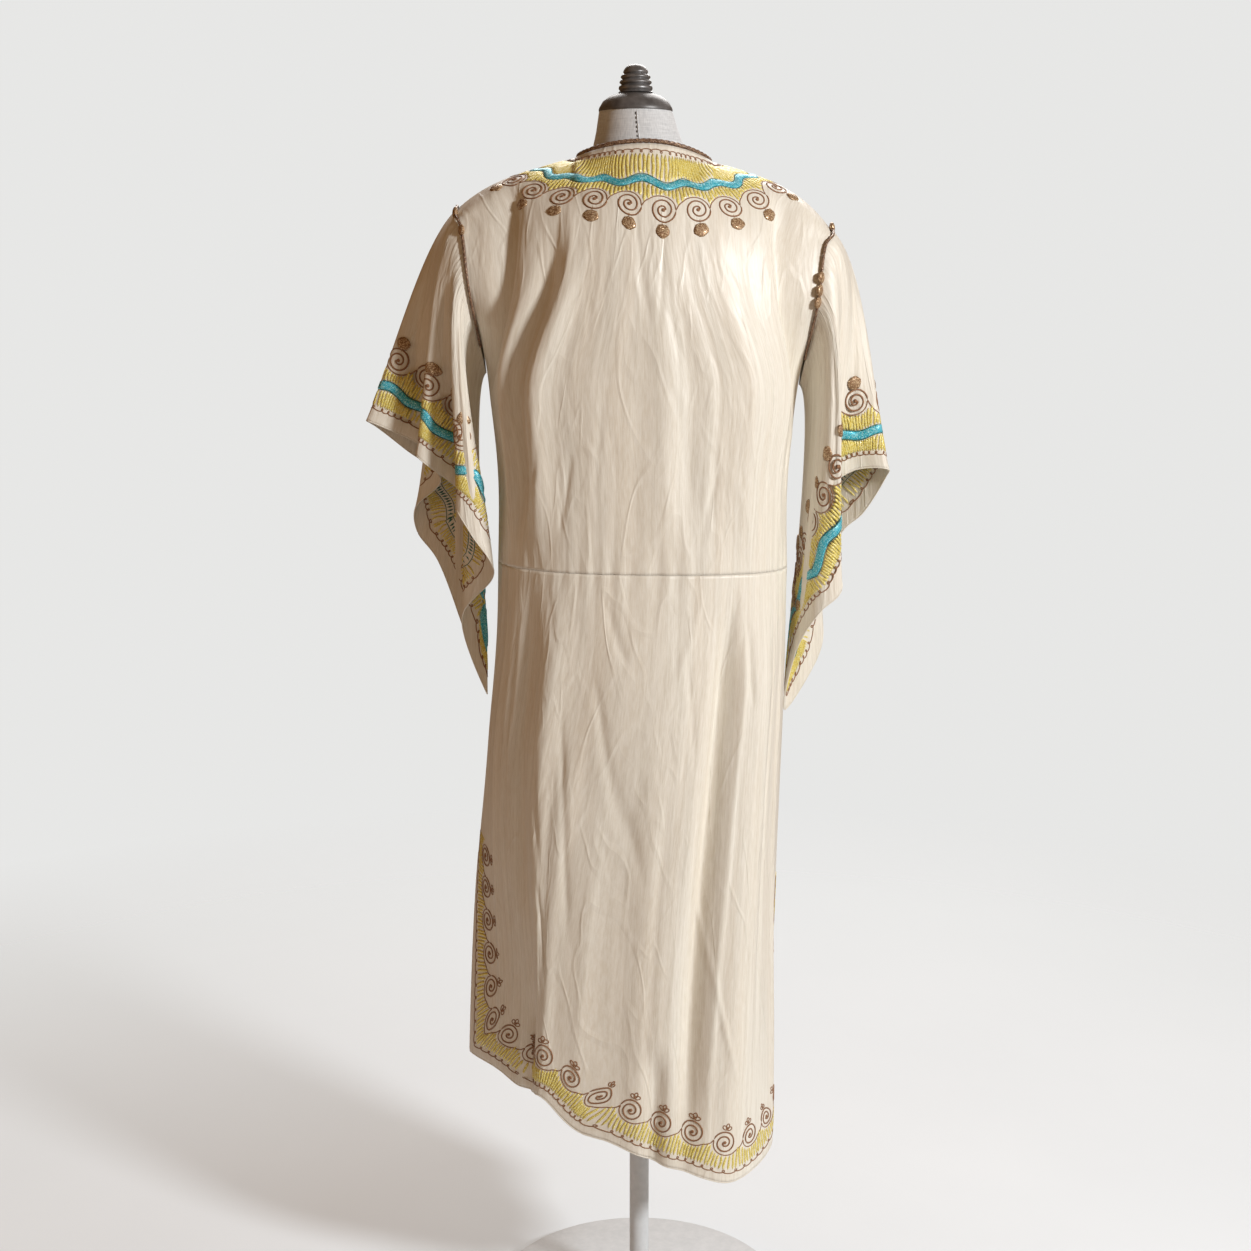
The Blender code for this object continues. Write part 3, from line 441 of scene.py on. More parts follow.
def bodice_top(facing, across):
    """Top edge of a bodice: an arc of neckline in the middle, and a shoulder seam on each side."""
    inner = np.clip(across / NECK_SHARE, -1, 1) * math.pi / 2
    depth, middle = (NAPE_DEPTH, NAPE_HEIGHT) if facing < 0 else (SCOOP_DEPTH, SCOOP_HEIGHT)
    x = NECK_CENTRE_X + NECK_HALF_WIDTH * np.sin(inner)
    y = facing * depth * np.cos(inner)
    point = NECK_POINT_HEIGHT - NECK_POINT_TILT * np.sign(across)
    z = point + (middle - NECK_POINT_HEIGHT) * np.cos(inner) ** 2
    z = z + NECK_POINT_TILT * np.sign(across) * np.cos(inner) ** 2
    for shoulder in SHOULDERS.values():
        share = np.clip((shoulder.sign * across - NECK_SHARE) / (1 - NECK_SHARE), 0, 1)
        neck_x = NECK_CENTRE_X + shoulder.sign * NECK_HALF_WIDTH
        x = x + (shoulder.x - neck_x) * share
        z = z - shoulder.even_drop * share - shoulder.late_drop * share ** 4
    return np.stack([x, y, z], axis=-1)


def bodice(facing, across, along):
    """A bodice panel: its levels, crest and top edge joined by smooth columns, with its folds."""
    levels = BACK_LEVELS if facing < 0 else FRONT_LEVELS
    folds = BACK_BODICE_FOLDS if facing < 0 else FRONT_BODICE_FOLDS
    neck_step = CREST_AT_NECK if facing < 0 else SCOOP_CREST_AT_NECK
    top = bodice_top(facing, across)
    at_neck = 1 - ease(np.abs(across), NECK_BLEND * NECK_SHARE, NECK_SHARE)
    step = [away + (near - away) * at_neck for away, near in zip(CREST_AT_SHOULDER, neck_step)]
    crest = top + np.stack([0 * across, facing * step[0], -step[1]], axis=-1)
    rows = [bodice_section(level, across) for level in levels] + [crest, top]
    knots = [level.along for level in levels] + [CREST_ALONG, TOP_ALONG]
    points = through(knots, rows, along * TOP_ALONG)
    height = fold_height(folds, across[None, :], along[:, None])
    height = height * (1 - ease(along, BODICE_FOLDS_END, 1.0))[:, None]
    skirt_folds = BACK_SKIRT_FOLDS if facing < 0 else FRONT_SKIRT_FOLDS
    seam = fold_height(skirt_folds, across, 0 * across) * SKIRT_FOLDS_AT_WAIST
    from_seam = ease(along * TOP_ALONG, 0.0, SEAM_BLEND)[:, None]
    height = height * from_seam + seam[None, :] * (1 - from_seam)
    height = height + gather_height(across[None, :], along[:, None] * TOP_ALONG)
    height = height * (1 - ease(np.abs(across), EDGE_FADE, 1.0))
    points = points + outward(across[None, :] + 0 * height, facing, height)
    points[..., 1] = facing * np.maximum(facing * points[..., 1], 0.0)
    return points + np.array([0.0, facing * PANEL_SHIFT, 0.0])


middle = bodice(-1, np.zeros(1), np.linspace(0.0, 1.0, 60))[:, 0]
print("back bodice, waist to nape", round(lengths(middle)[-1], 3), "m")

# %% [markdown]
# A skirt panel is built in the same way from the waist down. Its folds start at the gathers of the
# waist seam, and below the slits its two corners are free: they flare, swing and part.

# %% Skirt surface


def skirt(facing, across, along):
    """A skirt panel: sections that widen, square up and turn from the waist to the slanting hem."""
    levels = np.array(SKIRT_LEVELS)
    sizes = through(levels[:, 0], levels[:, 1:], along)
    centre_x, half_width, back_y, front_y, turn, squareness = [sizes[:, i, None] for i in range(6)]
    angle = across[None, :] * math.pi / 2
    round_x = np.sign(across) * np.abs(np.sin(angle)) ** squareness
    round_y = np.abs(np.cos(angle)) ** squareness
    flare = LEFT_FLARE * ease(along, LEFT_FLARE_START, LEFT_FLARE_END)[:, None]
    flare = flare * ease(-across, 0.0, LEFT_FLARE_ACROSS) * (facing < 0)
    x = half_width * ((1 - flare) * round_x + flare * across)
    y = (back_y if facing < 0 else front_y) * ((1 - flare) * round_y + flare * (1 - across ** 2))
    folds = BACK_SKIRT_FOLDS if facing < 0 else FRONT_SKIRT_FOLDS
    height = fold_height(folds, across[None, :], along[:, None])
    grown = ease(along, 0.0, SKIRT_FOLDS_FULL)
    height = height * (SKIRT_FOLDS_AT_WAIST + (1 - SKIRT_FOLDS_AT_WAIST) * grown)[:, None]
    drop = WAIST_HEIGHT - BACK_HEM[0].height
    height = height + gather_height(across[None, :], along[:, None] * drop)
    push = outward(across[None, :] + 0 * height, facing, height)
    x, y = x + push[..., 0], y + push[..., 1]
    if facing > 0:
        open_slit = SLIT_OPENING * ease(along, SLIT_START, 1.0)[:, None]
        open_slit = open_slit * ease(np.abs(across), SLIT_OPENS_ACROSS, 1.0)
        x = x - np.sign(across) * open_slit
        y = y + open_slit
    turn = np.radians(turn)
    hem = BACK_HEM if facing < 0 else FRONT_HEM
    hem_height = through([point.across for point in hem], [point.height for point in hem], across)
    waist_height = WAIST_HEIGHT - WAIST_TILT * across
    z = waist_height + (hem_height - waist_height) * along[:, None]
    turned_x = centre_x + x * np.cos(turn) - y * np.sin(turn)
    if facing < 0:
        corner = np.exp(-((across - RIGHT_CORNER_ACROSS) / RIGHT_CORNER_WIDTH) ** 2)
        corner = corner * (1 - ease(across, RIGHT_CORNER_ACROSS, 1.0))
        turned_x = turned_x + RIGHT_CORNER * ease(along, RIGHT_CORNER_START, 1.0)[:, None] * corner
    turned_y = x * np.sin(turn) + y * np.cos(turn)
    share = ease(across, RIGHT_SWING_ACROSS, 1.0)
    if facing > 0:
        room = FRONT_SWINGS_BELOW - half_width * np.sin(turn)
        share = np.clip((FRONT_SWINGS_BELOW - turned_y) / room, 0.0, 1.0) * (across > 0)
    turned_y = turned_y + RIGHT_SWING * ease(along, RIGHT_SWING_START, 1.0)[:, None] * share
    if facing < 0:
        corner = np.clip((-across - LEFT_SWING_ACROSS) / (1 - LEFT_SWING_ACROSS), 0.0, 1.0)
        corner = corner ** LEFT_SWING_POWER
        turned_y = turned_y - LEFT_SWING * ease(along, SLIT_START, 1.0)[:, None] * corner
    return np.stack([turned_x, turned_y + facing * PANEL_SHIFT, z], axis=-1)


middle = skirt(-1, np.zeros(1), np.linspace(0.0, 1.0, 60))[:, 0]
print("back skirt, waist to hem in the middle", round(lengths(middle)[-1], 3), "m")

# %% [markdown]
# A sleeve is sewn into the armhole, so its upper edge is read from the two bodices' edges. From each
# point of that loop a curved line runs to the hem. It leaves in the direction in which a held-out
# sleeve leaves a shoulder, and falls straight at the hem, so the panels shingle as folded cloth does.

# %% Armhole and sleeve surface
ARMHOLE_ROWS = np.linspace(0.0004, 1.0, 120)
ARMHOLE_START = BACK_LEVELS[2].along / TOP_ALONG - 1e-6
MODEL_COLUMNS = 31
EDGE_COLUMNS = np.array([1 - 2 / (MODEL_COLUMNS - 1), 1.0])
print("armholes start at the", BACK_LEVELS[2].name)


def edge_loop(side):
    """The armhole of one side: down the back bodice's edge and up the front one's.

    Gives the points, the direction in which the bodice's cloth leaves the armhole there, and each
    point's share of the way round: 0 on the shoulder, half under the arm, 1 back on the shoulder.
    """
    across = SHOULDERS[side].sign * EDGE_COLUMNS
    down = ARMHOLE_ROWS[ARMHOLE_ROWS > ARMHOLE_START][::-1]
    both = np.concatenate([bodice(-1, across, down), bodice(1, across, down[::-1])])
    leaving = unit(both[:, 1] - both[:, 0])
    loop = both[:, 1]
    half = len(loop) // 2
    length_down, length_up = lengths(loop[:half]), lengths(loop[half:])
    share = np.concatenate([length_down / length_down[-1] / 2, 0.5 + length_up / length_up[-1] / 2])
    return loop, leaving, share


def armhole(side, share):
    """Points, and the directions in which the bodice leaves them, at shares of the armhole loop."""
    loop, leaving, measured = edge_loop(side)
    point, direction = [np.stack([np.interp(share, measured, values[:, i]) for i in range(3)], axis=-1)
                        for values in (loop, leaving)]
    return point, unit(direction)


def sleeve_hem(side, per_row):
    """The closed hem of a sleeve, and each point's share of its length: half at the low tip."""
    shoulder = SHOULDERS[side]
    rows = SLEEVE_HEMS[side]
    start = np.array([shoulder.x, 0.0, shoulder.height])
    points = np.array([start + (shoulder.sign * row.out, -row.back, -row.down) for row in rows])
    tip = [row.name for row in rows].index(LOW_TIP)
    count = len(points)
    looped = np.concatenate([points[-3:], points, points[:4]])
    knots = np.concatenate([[0], np.cumsum(np.linalg.norm(np.diff(looped, axis=0), axis=1) ** 0.5)])
    knots = knots - knots[3]
    steps = np.arange(count * per_row + 1) / per_row
    at = np.interp(steps, np.arange(count + 1), knots[3:count + 4])
    curve = through(knots, looped, at)
    length = lengths(curve)
    share = np.interp(length, [0, length[tip * per_row], length[-1]], [0, 0.5, 1])
    return curve[:-1], share[:-1]


def sleeve_direction(side, share):
    """The direction in which a sleeve leaves its armhole: outward, down and a little apart."""
    wave, swing = np.cos(2 * math.pi * share), np.sin(2 * math.pi * share)
    sewn = SLEEVE_SET
    out = SHOULDERS[side].sign * (sewn.out - sewn.out_wave * wave)
    return unit(np.stack([out, -sewn.apart * swing, -sewn.down - sewn.down_wave * wave], axis=-1))


def sleeve(side, per_row, fall):
    """A sleeve: cubic lines from the armhole (fall 0) to the hem (fall 1) that leave it outward."""
    hem, share = sleeve_hem(side, per_row)
    start, leaving = armhole(side, share)
    direction = sleeve_direction(side, share)
    cosine = np.clip(np.sum(direction * leaving, axis=-1), SLEEVE_LEAST_COSINE, 1.0)
    sine = np.sqrt(1 - cosine ** 2)
    start = start + direction * ((SLEEVE_SEAM_GAP + SOLID_WALL / 2 * sine) / cosine)[:, None]
    chord = hem - start
    reach = SLEEVE_LEAVES + SLEEVE_LEAVES_WAVE * np.cos(2 * math.pi * share)
    leave = direction * (reach * np.linalg.norm(chord, axis=-1))[:, None]
    arrive = chord * SLEEVE_ARRIVES
    t = fall[:, None, None]
    points = ((1 + 2 * t) * (1 - t) ** 2 * start + t * (1 - t) ** 2 * leave
              + t * t * (3 - 2 * t) * hem - t * t * (1 - t) * arrive)
    around = np.roll(points, -1, axis=1) - np.roll(points, 1, axis=1)
    normal = unit(np.cross(around, np.gradient(points, axis=0))) * SHOULDERS[side].sign
    height = fold_height(SLEEVE_FOLDS[side], share[None, :], fall[:, None])
    return points + normal * height[..., None]


for side in SHOULDERS:
    print(side, "armhole", round(lengths(edge_loop(side)[0])[-1], 3), "m round")

# %% [markdown]
# ## Thin cloth from a grid
#
# A grid of points becomes quads, gets a UV map in real metres for the weave, and Solidify gives it
# the thickness of satin, one millimetre, half to each side of the measured surface.

# %% Cloth pieces
CLOTH_THICKNESS = 0.0010


def grid_object(name, points, uv_size, closed=False):
    """Quads over points[row, column], with a UV map in metres: uv_size is (across, along)."""
    rows, columns = points.shape[:2]
    index = np.arange(rows * columns).reshape(rows, columns)
    u = np.arange(columns + closed) / (columns - 1 + closed) * uv_size[0]
    v = np.arange(rows) / (rows - 1) * uv_size[1]
    if closed:
        index = np.concatenate([index, index[:, :1]], axis=1)
    corner_u = np.stack([u[:-1], u[1:], u[1:], u[:-1]], axis=-1)[None] + np.zeros((rows - 1, 1, 1))
    corner_v = np.stack([v[:-1], v[:-1], v[1:], v[1:]], axis=-1)[:, None]
    corner_v = corner_v + np.zeros((1, len(u) - 1, 1))
    quads = np.stack([index[:-1, :-1], index[:-1, 1:], index[1:, 1:], index[1:, :-1]], axis=-1)
    mesh = bpy.data.meshes.new(name)
    mesh.from_pydata(points.reshape(-1, 3).tolist(), [], quads.reshape(-1, 4).tolist())
    layer = mesh.uv_layers.new(name="weave")
    layer.data.foreach_set("uv", np.stack([corner_u, corner_v], axis=-1).astype(np.float32).ravel())
    mesh.shade_smooth()
    return placed(name, mesh)


def cloth_object(name, points, uv_size, closed=False):
    """A grid with the thickness of the cloth, given by a live Solidify modifier."""
    piece = grid_object(name, points, uv_size, closed)
    wall = piece.modifiers.new("cloth thickness", "SOLIDIFY")
    wall.thickness = CLOTH_THICKNESS
    wall.offset = 0.0
    return piece


# %% [markdown]
# Six pieces make the caftan, as it would be cut: two bodices, two skirts and two sleeves. The back is
# laid finer than the front, because it is the side that is looked at and has more creases.

# %% Lay the six cloth pieces
SEAM_GAP = 0.0002
Fineness = namedtuple("Fineness", "columns bodice_rows skirt_rows")
FINENESS = {-1: Fineness(181, 131, 171), 1: Fineness(121, 91, 111)}
FACINGS = (("back", -1), ("front", 1))
SLEEVE_PER_ROW = 14
SLEEVE_FALLS = 84
BODICE_WEAVE = (0.52, 0.52)
SKIRT_WEAVE = (0.56, 0.74)
SLEEVE_WEAVE = (0.75, 0.36)

cloth = {}
for word, facing in FACINGS:
    fine = FINENESS[facing]
    across = np.linspace(-1.0, 1.0, fine.columns)
    along = np.linspace(SEAM_GAP / 2 / TOP_ALONG, 1.0, fine.bodice_rows)
    down = np.linspace(SEAM_GAP / 2 / (WAIST_HEIGHT - BACK_HEM[0].height), 1.0, fine.skirt_rows)
    for part, points, weave in (("bodice", bodice(facing, across, along), BODICE_WEAVE),
                                ("skirt", skirt(facing, across, down), SKIRT_WEAVE)):
        cloth[f"{word}_{part}"] = cloth_object(f"{word}_{part}_cloth", points, weave)
for side in SHOULDERS:
    points = sleeve(side, SLEEVE_PER_ROW, np.linspace(0.0, 1.0, SLEEVE_FALLS))
    cloth["sleeve_" + side] = cloth_object(f"sleeve_{side}_cloth", points, SLEEVE_WEAVE, closed=True)
for name, piece in cloth.items():
    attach(piece, "root")
    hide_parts(name)
    print(name, "triangles", 4 * len(piece.data.polygons))

# %% [markdown]
# ## Stitching on cloth: borders laid flat
#
# Embroidery is worked on flat cloth, so its drawing has two lengths: the run along an edge and the
# reach away from it. To carry a drawing onto the hanging cloth, straight lines are walked over the
# surface from points of the edge, square to it, a few millimetres at a time. Each step follows the
# surface, so the lines lie where a ruler would lie on the real cloth. At a corner the lines fan
# out, and the drawing turns with them. The grid of walked points is then the drawing's paper.

# %% Walking over a surface
REACH_STEP = 0.003


def look_up(grid, column, row):
    """The values of grid[row, column] between its points, from the four around each place."""
    rows, columns = grid.shape[:2]
    column = np.clip(column, 0, columns - 1.001)
    row = np.clip(row, 0, rows - 1.001)
    left, low = column.astype(int), row.astype(int)
    s, t = (column - left)[..., None], (row - low)[..., None]
    lower = grid[low, left] * (1 - s) + grid[low, left + 1] * s
    upper = grid[low + 1, left] * (1 - s) + grid[low + 1, left + 1] * s
    return lower * (1 - t) + upper * t


class Surface:
    """A cloth grid with its slopes, its normals, and a way to walk over it."""

    def __init__(self, points, outside):
        """points[row, column]; outside is 1 if columns x rows points out of the garment, else -1."""
        self.points = points
        self.by_column = np.gradient(points, axis=1)
        self.by_row = np.gradient(points, axis=0)
        self.normals = unit(np.cross(self.by_column, self.by_row)) * outside

    def walk(self, column, row, direction, stretch, depth, calm, closed=False):
        """Straight lines over the surface, each in its own direction, its steps longer by its stretch.

        A step is split along the grid's two slopes, and the direction is then laid into the
        surface at the new place, so it turns with the cloth and never within it. After each step,
        every line's way so far is averaged over calm lines to each side, so that none cross.
        """
        start = column, row
        weights = np.hanning(2 * calm + 3)[1:-1]
        weights = weights / weights.sum()
        step = REACH_STEP * stretch
        places = [(column, row)]
        for _ in range(int(depth / REACH_STEP) + 1):
            a, b = look_up(self.by_column, column, row), look_up(self.by_row, column, row)
            normal = unit(np.cross(a, b))
            direction = unit(direction - normal * np.sum(direction * normal, axis=-1, keepdims=True))
            aa, ab, bb = np.sum(a * a, axis=-1), np.sum(a * b, axis=-1), np.sum(b * b, axis=-1)
            da, db = np.sum(direction * a, axis=-1) * step, np.sum(direction * b, axis=-1) * step
            area = np.maximum(aa * bb - ab * ab, 1e-14)
            column = np.clip(column + (da * bb - db * ab) / area, 0, self.points.shape[1] - 1)
            row = np.clip(row + (db * aa - da * ab) / area, 0, self.points.shape[0] - 1)
            way = [np.pad(now - first, calm, mode="wrap" if closed else "edge")
                   for now, first in zip((column, row), start)]
            column, row = [first + np.convolve(part, weights, mode="valid")
                           for first, part in zip(start, way)]
            places.append((column, row))
        columns, rows = [np.array(values) for values in zip(*places)]
        return look_up(self.points, columns, rows), look_up(self.normals, columns, rows)


class Border:
    """A strip of cloth beside an edge as paper: run goes along the edge, reach away from it."""

    def __init__(self, points, normals, level_reach, closed=False):
        """Keep lines points[reach step, line] that leave the edge, their run even at level_reach."""
        level = points[int(level_reach / REACH_STEP)]
        length = lengths(level)
        self.length, self.closed = length[-1], closed
        count = int(self.length / REACH_STEP) + 1
        place = np.interp(np.linspace(0, self.length, count), length, np.arange(len(length)))
        self.run_step = self.length / (count - 1)
        rows = np.arange(len(points))[:, None] + 0 * place[None, :]
        place = place[None, :] + 0 * rows
        self.points = look_up(points, place, rows)
        self.normals = unit(look_up(normals, place, rows))

    def at(self, run, reach, lift):
        """Points of the drawing on the cloth, lifted off it, and the cloth's normals there."""
        if self.closed:
            run = np.mod(run, self.length)
        column, row = run / self.run_step, reach / REACH_STEP
        normal = unit(look_up(self.normals, column, row))
        return look_up(self.points, column, row) + normal * np.asarray(lift)[..., None], normal


# %% [markdown]
# The skirt's border runs down one slit, along the hem and up the other slit. Near each corner the
# walked lines fan from square to the slit round to square to the hem, as a mitred band does.

# %% Borders of the skirt
BORDER_DEPTH = 0.105
FAN_LENGTH = 0.12
SLIT_BORDER = 0.30
SLIT_LINES = 200
SKIRT_PAPER = (361, 241)
SKIRT_PAPER_TOP = 0.42
HEM_LEVEL_REACH = 0.050
HEM_CALM = 6


def fan(way):
    """How far a line leans at a distance from the corner: 1 at the corner, 0 from FAN_LENGTH on."""
    return np.clip(1 - way / FAN_LENGTH, 0, 1)


def skirt_border(facing):
    """The skirt panel's border from the top of one slit, along the hem, to the top of the other."""
    columns, rows = SKIRT_PAPER
    points = skirt(facing, np.linspace(-1, 1, columns), np.linspace(1.0, SKIRT_PAPER_TOP, rows))
    surface = Surface(points, -facing)
    hem = np.arange(0.0, columns)
    slit = np.linspace(SLIT_BORDER, 0.0, SLIT_LINES)[:-1]
    left, right = [np.interp(slit, lengths(points[:, edge]), np.arange(rows)) for edge in (0, -1)]
    column = np.concatenate([0 * slit, hem, 0 * slit + columns - 1.0])
    row = np.concatenate([left, 0 * hem, right[::-1]])
    place = look_up(surface.points, column, row)
    forward = unit(np.gradient(place, axis=0))
    first, last = len(slit), len(slit) + len(hem)
    for corner in (first, last):
        forward[corner - 1], forward[corner] = forward[corner - 3], forward[corner + 2]
    towards_front = look_up(surface.normals, column, row) * facing
    inward = unit(np.cross(forward, towards_front))
    run = lengths(place[first:last])
    tilt = np.concatenate([-fan(slit), fan(run) - fan(run[-1] - run), fan(slit[::-1])])
    direction = unit(inward + forward * tilt[:, None])
    lines = surface.walk(column, row, direction, np.sqrt(1 + tilt ** 2), BORDER_DEPTH, HEM_CALM)
    return Border(*lines, HEM_LEVEL_REACH)


borders = {}
for word, facing in FACINGS:
    borders[word + "_hem"] = skirt_border(facing)
    print(word, "hem and slits", round(borders[word + "_hem"].length, 3), "m")

# %% [markdown]
# A sleeve's border runs all the way round its hem. Its cloth folds like a fan, and at the low tip the
# hem turns back sharply, so there the walked lines lean towards the sleeve's own fall.

# %% Borders of the sleeves
SLEEVE_PAPER_ROWS = 150
SLEEVE_PAPER_TOP = 0.15
PAPER_PER_ROW = 40
PAPER_OVERLAP = 120
SLEEVE_BORDER_DEPTH = 0.125
SLEEVE_LEVEL_REACH = 0.075
SLEEVE_CALM = 4
TIP_START, TIP_END = 0.02, 0.12
LEAST_SQUARE = 0.6


def sleeve_border(side):
    """The border round a sleeve's hem, walked square to the hem but for the low tip."""
    loop = sleeve(side, PAPER_PER_ROW, np.linspace(1.0, SLEEVE_PAPER_TOP, SLEEVE_PAPER_ROWS))
    overlapping = [loop[:, -PAPER_OVERLAP:], loop, loop[:, :PAPER_OVERLAP]]
    surface = Surface(np.concatenate(overlapping, axis=1), -SHOULDERS[side].sign)
    column = PAPER_OVERLAP + np.arange(loop.shape[1] + 1, dtype=float)
    row = 0 * column
    edge = look_up(surface.points, column, row)
    forward = unit(look_up(surface.by_column, column, row))
    upward = unit(look_up(surface.by_row, column, row))
    lean = np.sum(forward * upward, axis=-1)
    square = unit(upward - forward * lean[:, None])
    length = lengths(edge)
    tip = [hem_row.name for hem_row in SLEEVE_HEMS[side]].index(LOW_TIP) * PAPER_PER_ROW
    near_tip = 1 - ease(np.abs(length - length[tip]), TIP_START, TIP_END)
    direction = unit(square * (1 - near_tip[:, None]) + upward * near_tip[:, None])
    stretch = 1 / np.clip(np.sum(direction * square, axis=-1), LEAST_SQUARE, 1.0)
    lines = surface.walk(column, row, direction, stretch, SLEEVE_BORDER_DEPTH, SLEEVE_CALM, True)
    return Border(*lines, SLEEVE_LEVEL_REACH, closed=True)


for side in SHOULDERS:
    borders["sleeve_" + side] = sleeve_border(side)
    print(side, "sleeve's hem", round(borders["sleeve_" + side].length, 3), "m")

# %% [markdown]
# The yoke is a ring of embroidery round the neckline. Its lines are walked outwards from the
# neckline of the back and of the front, square to it, and at the neck points they run down the
# shoulder seams, so the two halves meet there. The ring hangs a little lower in the middle of the
# back, which a table of shares of the reach gives it.

# %% Borders of the yoke
YokeReach = namedtuple("YokeReach", "turn share")
YOKE_REACH = {
    -1: table(YokeReach, (-90, 1.00), (-50, 0.90), (-8, 1.03), (20, 1.11), (50, 1.00), (90, 1.00)),
    1: table(YokeReach, (-90, 1.00), (0, 1.06), (90, 1.00)),
}
YOKE_DEPTH = 0.126
YOKE_START = np.arange(0.0005, 0.014, 0.003)
YOKE_PAPER = (401, 181)
YOKE_PAPER_TOP = 0.55
YOKE_LINES = 161
YOKE_CALM = 3
YOKE_LEVEL_REACH = 0.075
PLAN_STEPS = 8
PLAN_LIMIT = 2


def find_in_plan(surface, x, y):
    """Grid places whose points lie at (x, y) seen from above: the nearest points, then Newton steps."""
    flat = surface.points[:, :, :2].reshape(-1, 2)
    gap = (flat[None, :, 0] - x[:, None]) ** 2 + (flat[None, :, 1] - y[:, None]) ** 2
    rows, columns = surface.points.shape[:2]
    row, column = [place.astype(float) for place in np.divmod(np.argmin(gap, axis=1), columns)]
    for _ in range(PLAN_STEPS):
        here = look_up(surface.points, column, row)
        a, b = look_up(surface.by_column, column, row), look_up(surface.by_row, column, row)
        area = a[:, 0] * b[:, 1] - a[:, 1] * b[:, 0]
        area = np.where(np.abs(area) < 1e-9, 1e-9, area)
        dx, dy = x - here[:, 0], y - here[:, 1]
        step = np.clip((dx * b[:, 1] - dy * b[:, 0]) / area, -PLAN_LIMIT, PLAN_LIMIT)
        column = np.clip(column + step, 0, columns - 1)
        step = np.clip((dy * a[:, 0] - dx * a[:, 1]) / area, -PLAN_LIMIT, PLAN_LIMIT)
        row = np.clip(row + step, 0, rows - 1)
    return column, row


def yoke_border(facing):
    """The half ring round one panel's neckline, from its left neck point to its right one."""
    columns, rows = YOKE_PAPER
    paper = bodice(facing, np.linspace(-1, 1, columns), np.linspace(1.0, YOKE_PAPER_TOP, rows))
    surface = Surface(paper, facing)
    turn = np.linspace(-math.pi / 2, math.pi / 2, YOKE_LINES)
    depth = NAPE_DEPTH if facing < 0 else SCOOP_DEPTH
    edge_x = NECK_CENTRE_X + NECK_HALF_WIDTH * np.sin(turn)
    edge_y = facing * (depth * np.cos(turn) + PANEL_SHIFT)
    out = [np.sin(turn) / NECK_HALF_WIDTH, facing * np.cos(turn) / depth, 0 * turn]
    out = unit(np.stack(out, axis=-1))
    points, normals = [], []
    for distance in YOKE_START:
        x, y = edge_x + out[:, 0] * distance, edge_y + out[:, 1] * distance
        column, row = find_in_plan(surface, x, y)
        points.append(look_up(surface.points, column, row))
        normals.append(look_up(surface.normals, column, row))
    shares = YOKE_REACH[facing]
    share = through([row.turn for row in shares], [row.share for row in shares], np.degrees(turn))
    walked, walked_normals = surface.walk(column, row, out, 1.0, YOKE_DEPTH * share.max(), YOKE_CALM)
    points = np.concatenate([points, walked[1:]])
    normals = np.concatenate([normals, walked_normals[1:]])
    length = np.cumsum(np.linalg.norm(np.diff(points, axis=0, prepend=points[:1]), axis=2), axis=0)
    reach = np.arange(0, YOKE_DEPTH, REACH_STEP)
    rows = np.stack([np.interp(reach * share[i], length[:, i], np.arange(len(length)))
                     for i in range(len(turn))], axis=1)
    lines = np.arange(len(turn))[None, :] + 0 * rows
    return Border(look_up(points, lines, rows), look_up(normals, lines, rows), YOKE_LEVEL_REACH)


for word, facing in FACINGS:
    borders[word + "_yoke"] = yoke_border(facing)
    print(word, "yoke", round(borders[word + "_yoke"].length, 3), "m round its middle")

# %% [markdown]
# ## Threads
#
# A thread is a low ridge with a flat underside, laid along a drawn line. It could be a bump in a
# material, but raised thread catches the light at its edge and stands up in the outline, so it is a
# mesh. All lines of one kind are worked out together: an array of lines by points. Thick satin strokes
# are the same ridge, wider and flatter on top.

# %% Ridges along drawn lines
THREAD_BASE = 0.00045
END_WIDTH = 0.15
END_RISE = 0.4


def ridge_mesh(border, run, reach, half_width, height, shoulder, under):
    """Closed ridges along lines run[line, point], reach[line, point]: vertices and faces.

    Across a line there are four points: two feet on the cloth, and two on top that are shoulder
    times as far apart. The ends narrow, and a small quad closes each. under lays them on the wrong side.
    """
    run, reach = np.broadcast_arrays(run, reach)
    turn = -1.0 if under else 1.0
    centre, normal = border.at(run, reach, turn * THREAD_BASE + 0 * run)
    normal = normal * turn
    forward = unit(np.gradient(centre, axis=1))
    side = unit(np.cross(normal, forward))
    width = np.broadcast_to(half_width, run.shape)[..., None]
    taper = np.ones(run.shape[1])
    taper[[0, -1]] = END_WIDTH
    width, rise = width * taper[:, None], height * np.maximum(taper, END_RISE)[:, None]
    top = side * width * shoulder
    section = [centre - side * width, centre - top + normal * rise, centre + top + normal * rise,
               centre + side * width]
    points = np.stack(section, axis=2)
    lines, count = run.shape
    index = np.arange(lines * count * 4).reshape(lines, count, 4)
    following = np.roll(index, -1, axis=2)
    walls = np.stack([index[:, :-1], index[:, 1:], following[:, 1:], following[:, :-1]], axis=-1)
    ends = np.concatenate([index[:, 0], index[:, -1, ::-1]])
    return points.reshape(-1, 3), np.concatenate([walls.reshape(-1, 4), ends.reshape(-1, 4)])


def facing_out(mesh, merge=False):
    """Point a closed mesh's faces outwards, after its doubles are merged where it has poles."""
    solid = bmesh.new()
    solid.from_mesh(mesh)
    if merge:
        bmesh.ops.remove_doubles(solid, verts=solid.verts, dist=1e-6)
    bmesh.ops.recalc_face_normals(solid, faces=solid.faces)
    solid.to_mesh(mesh)
    solid.free()


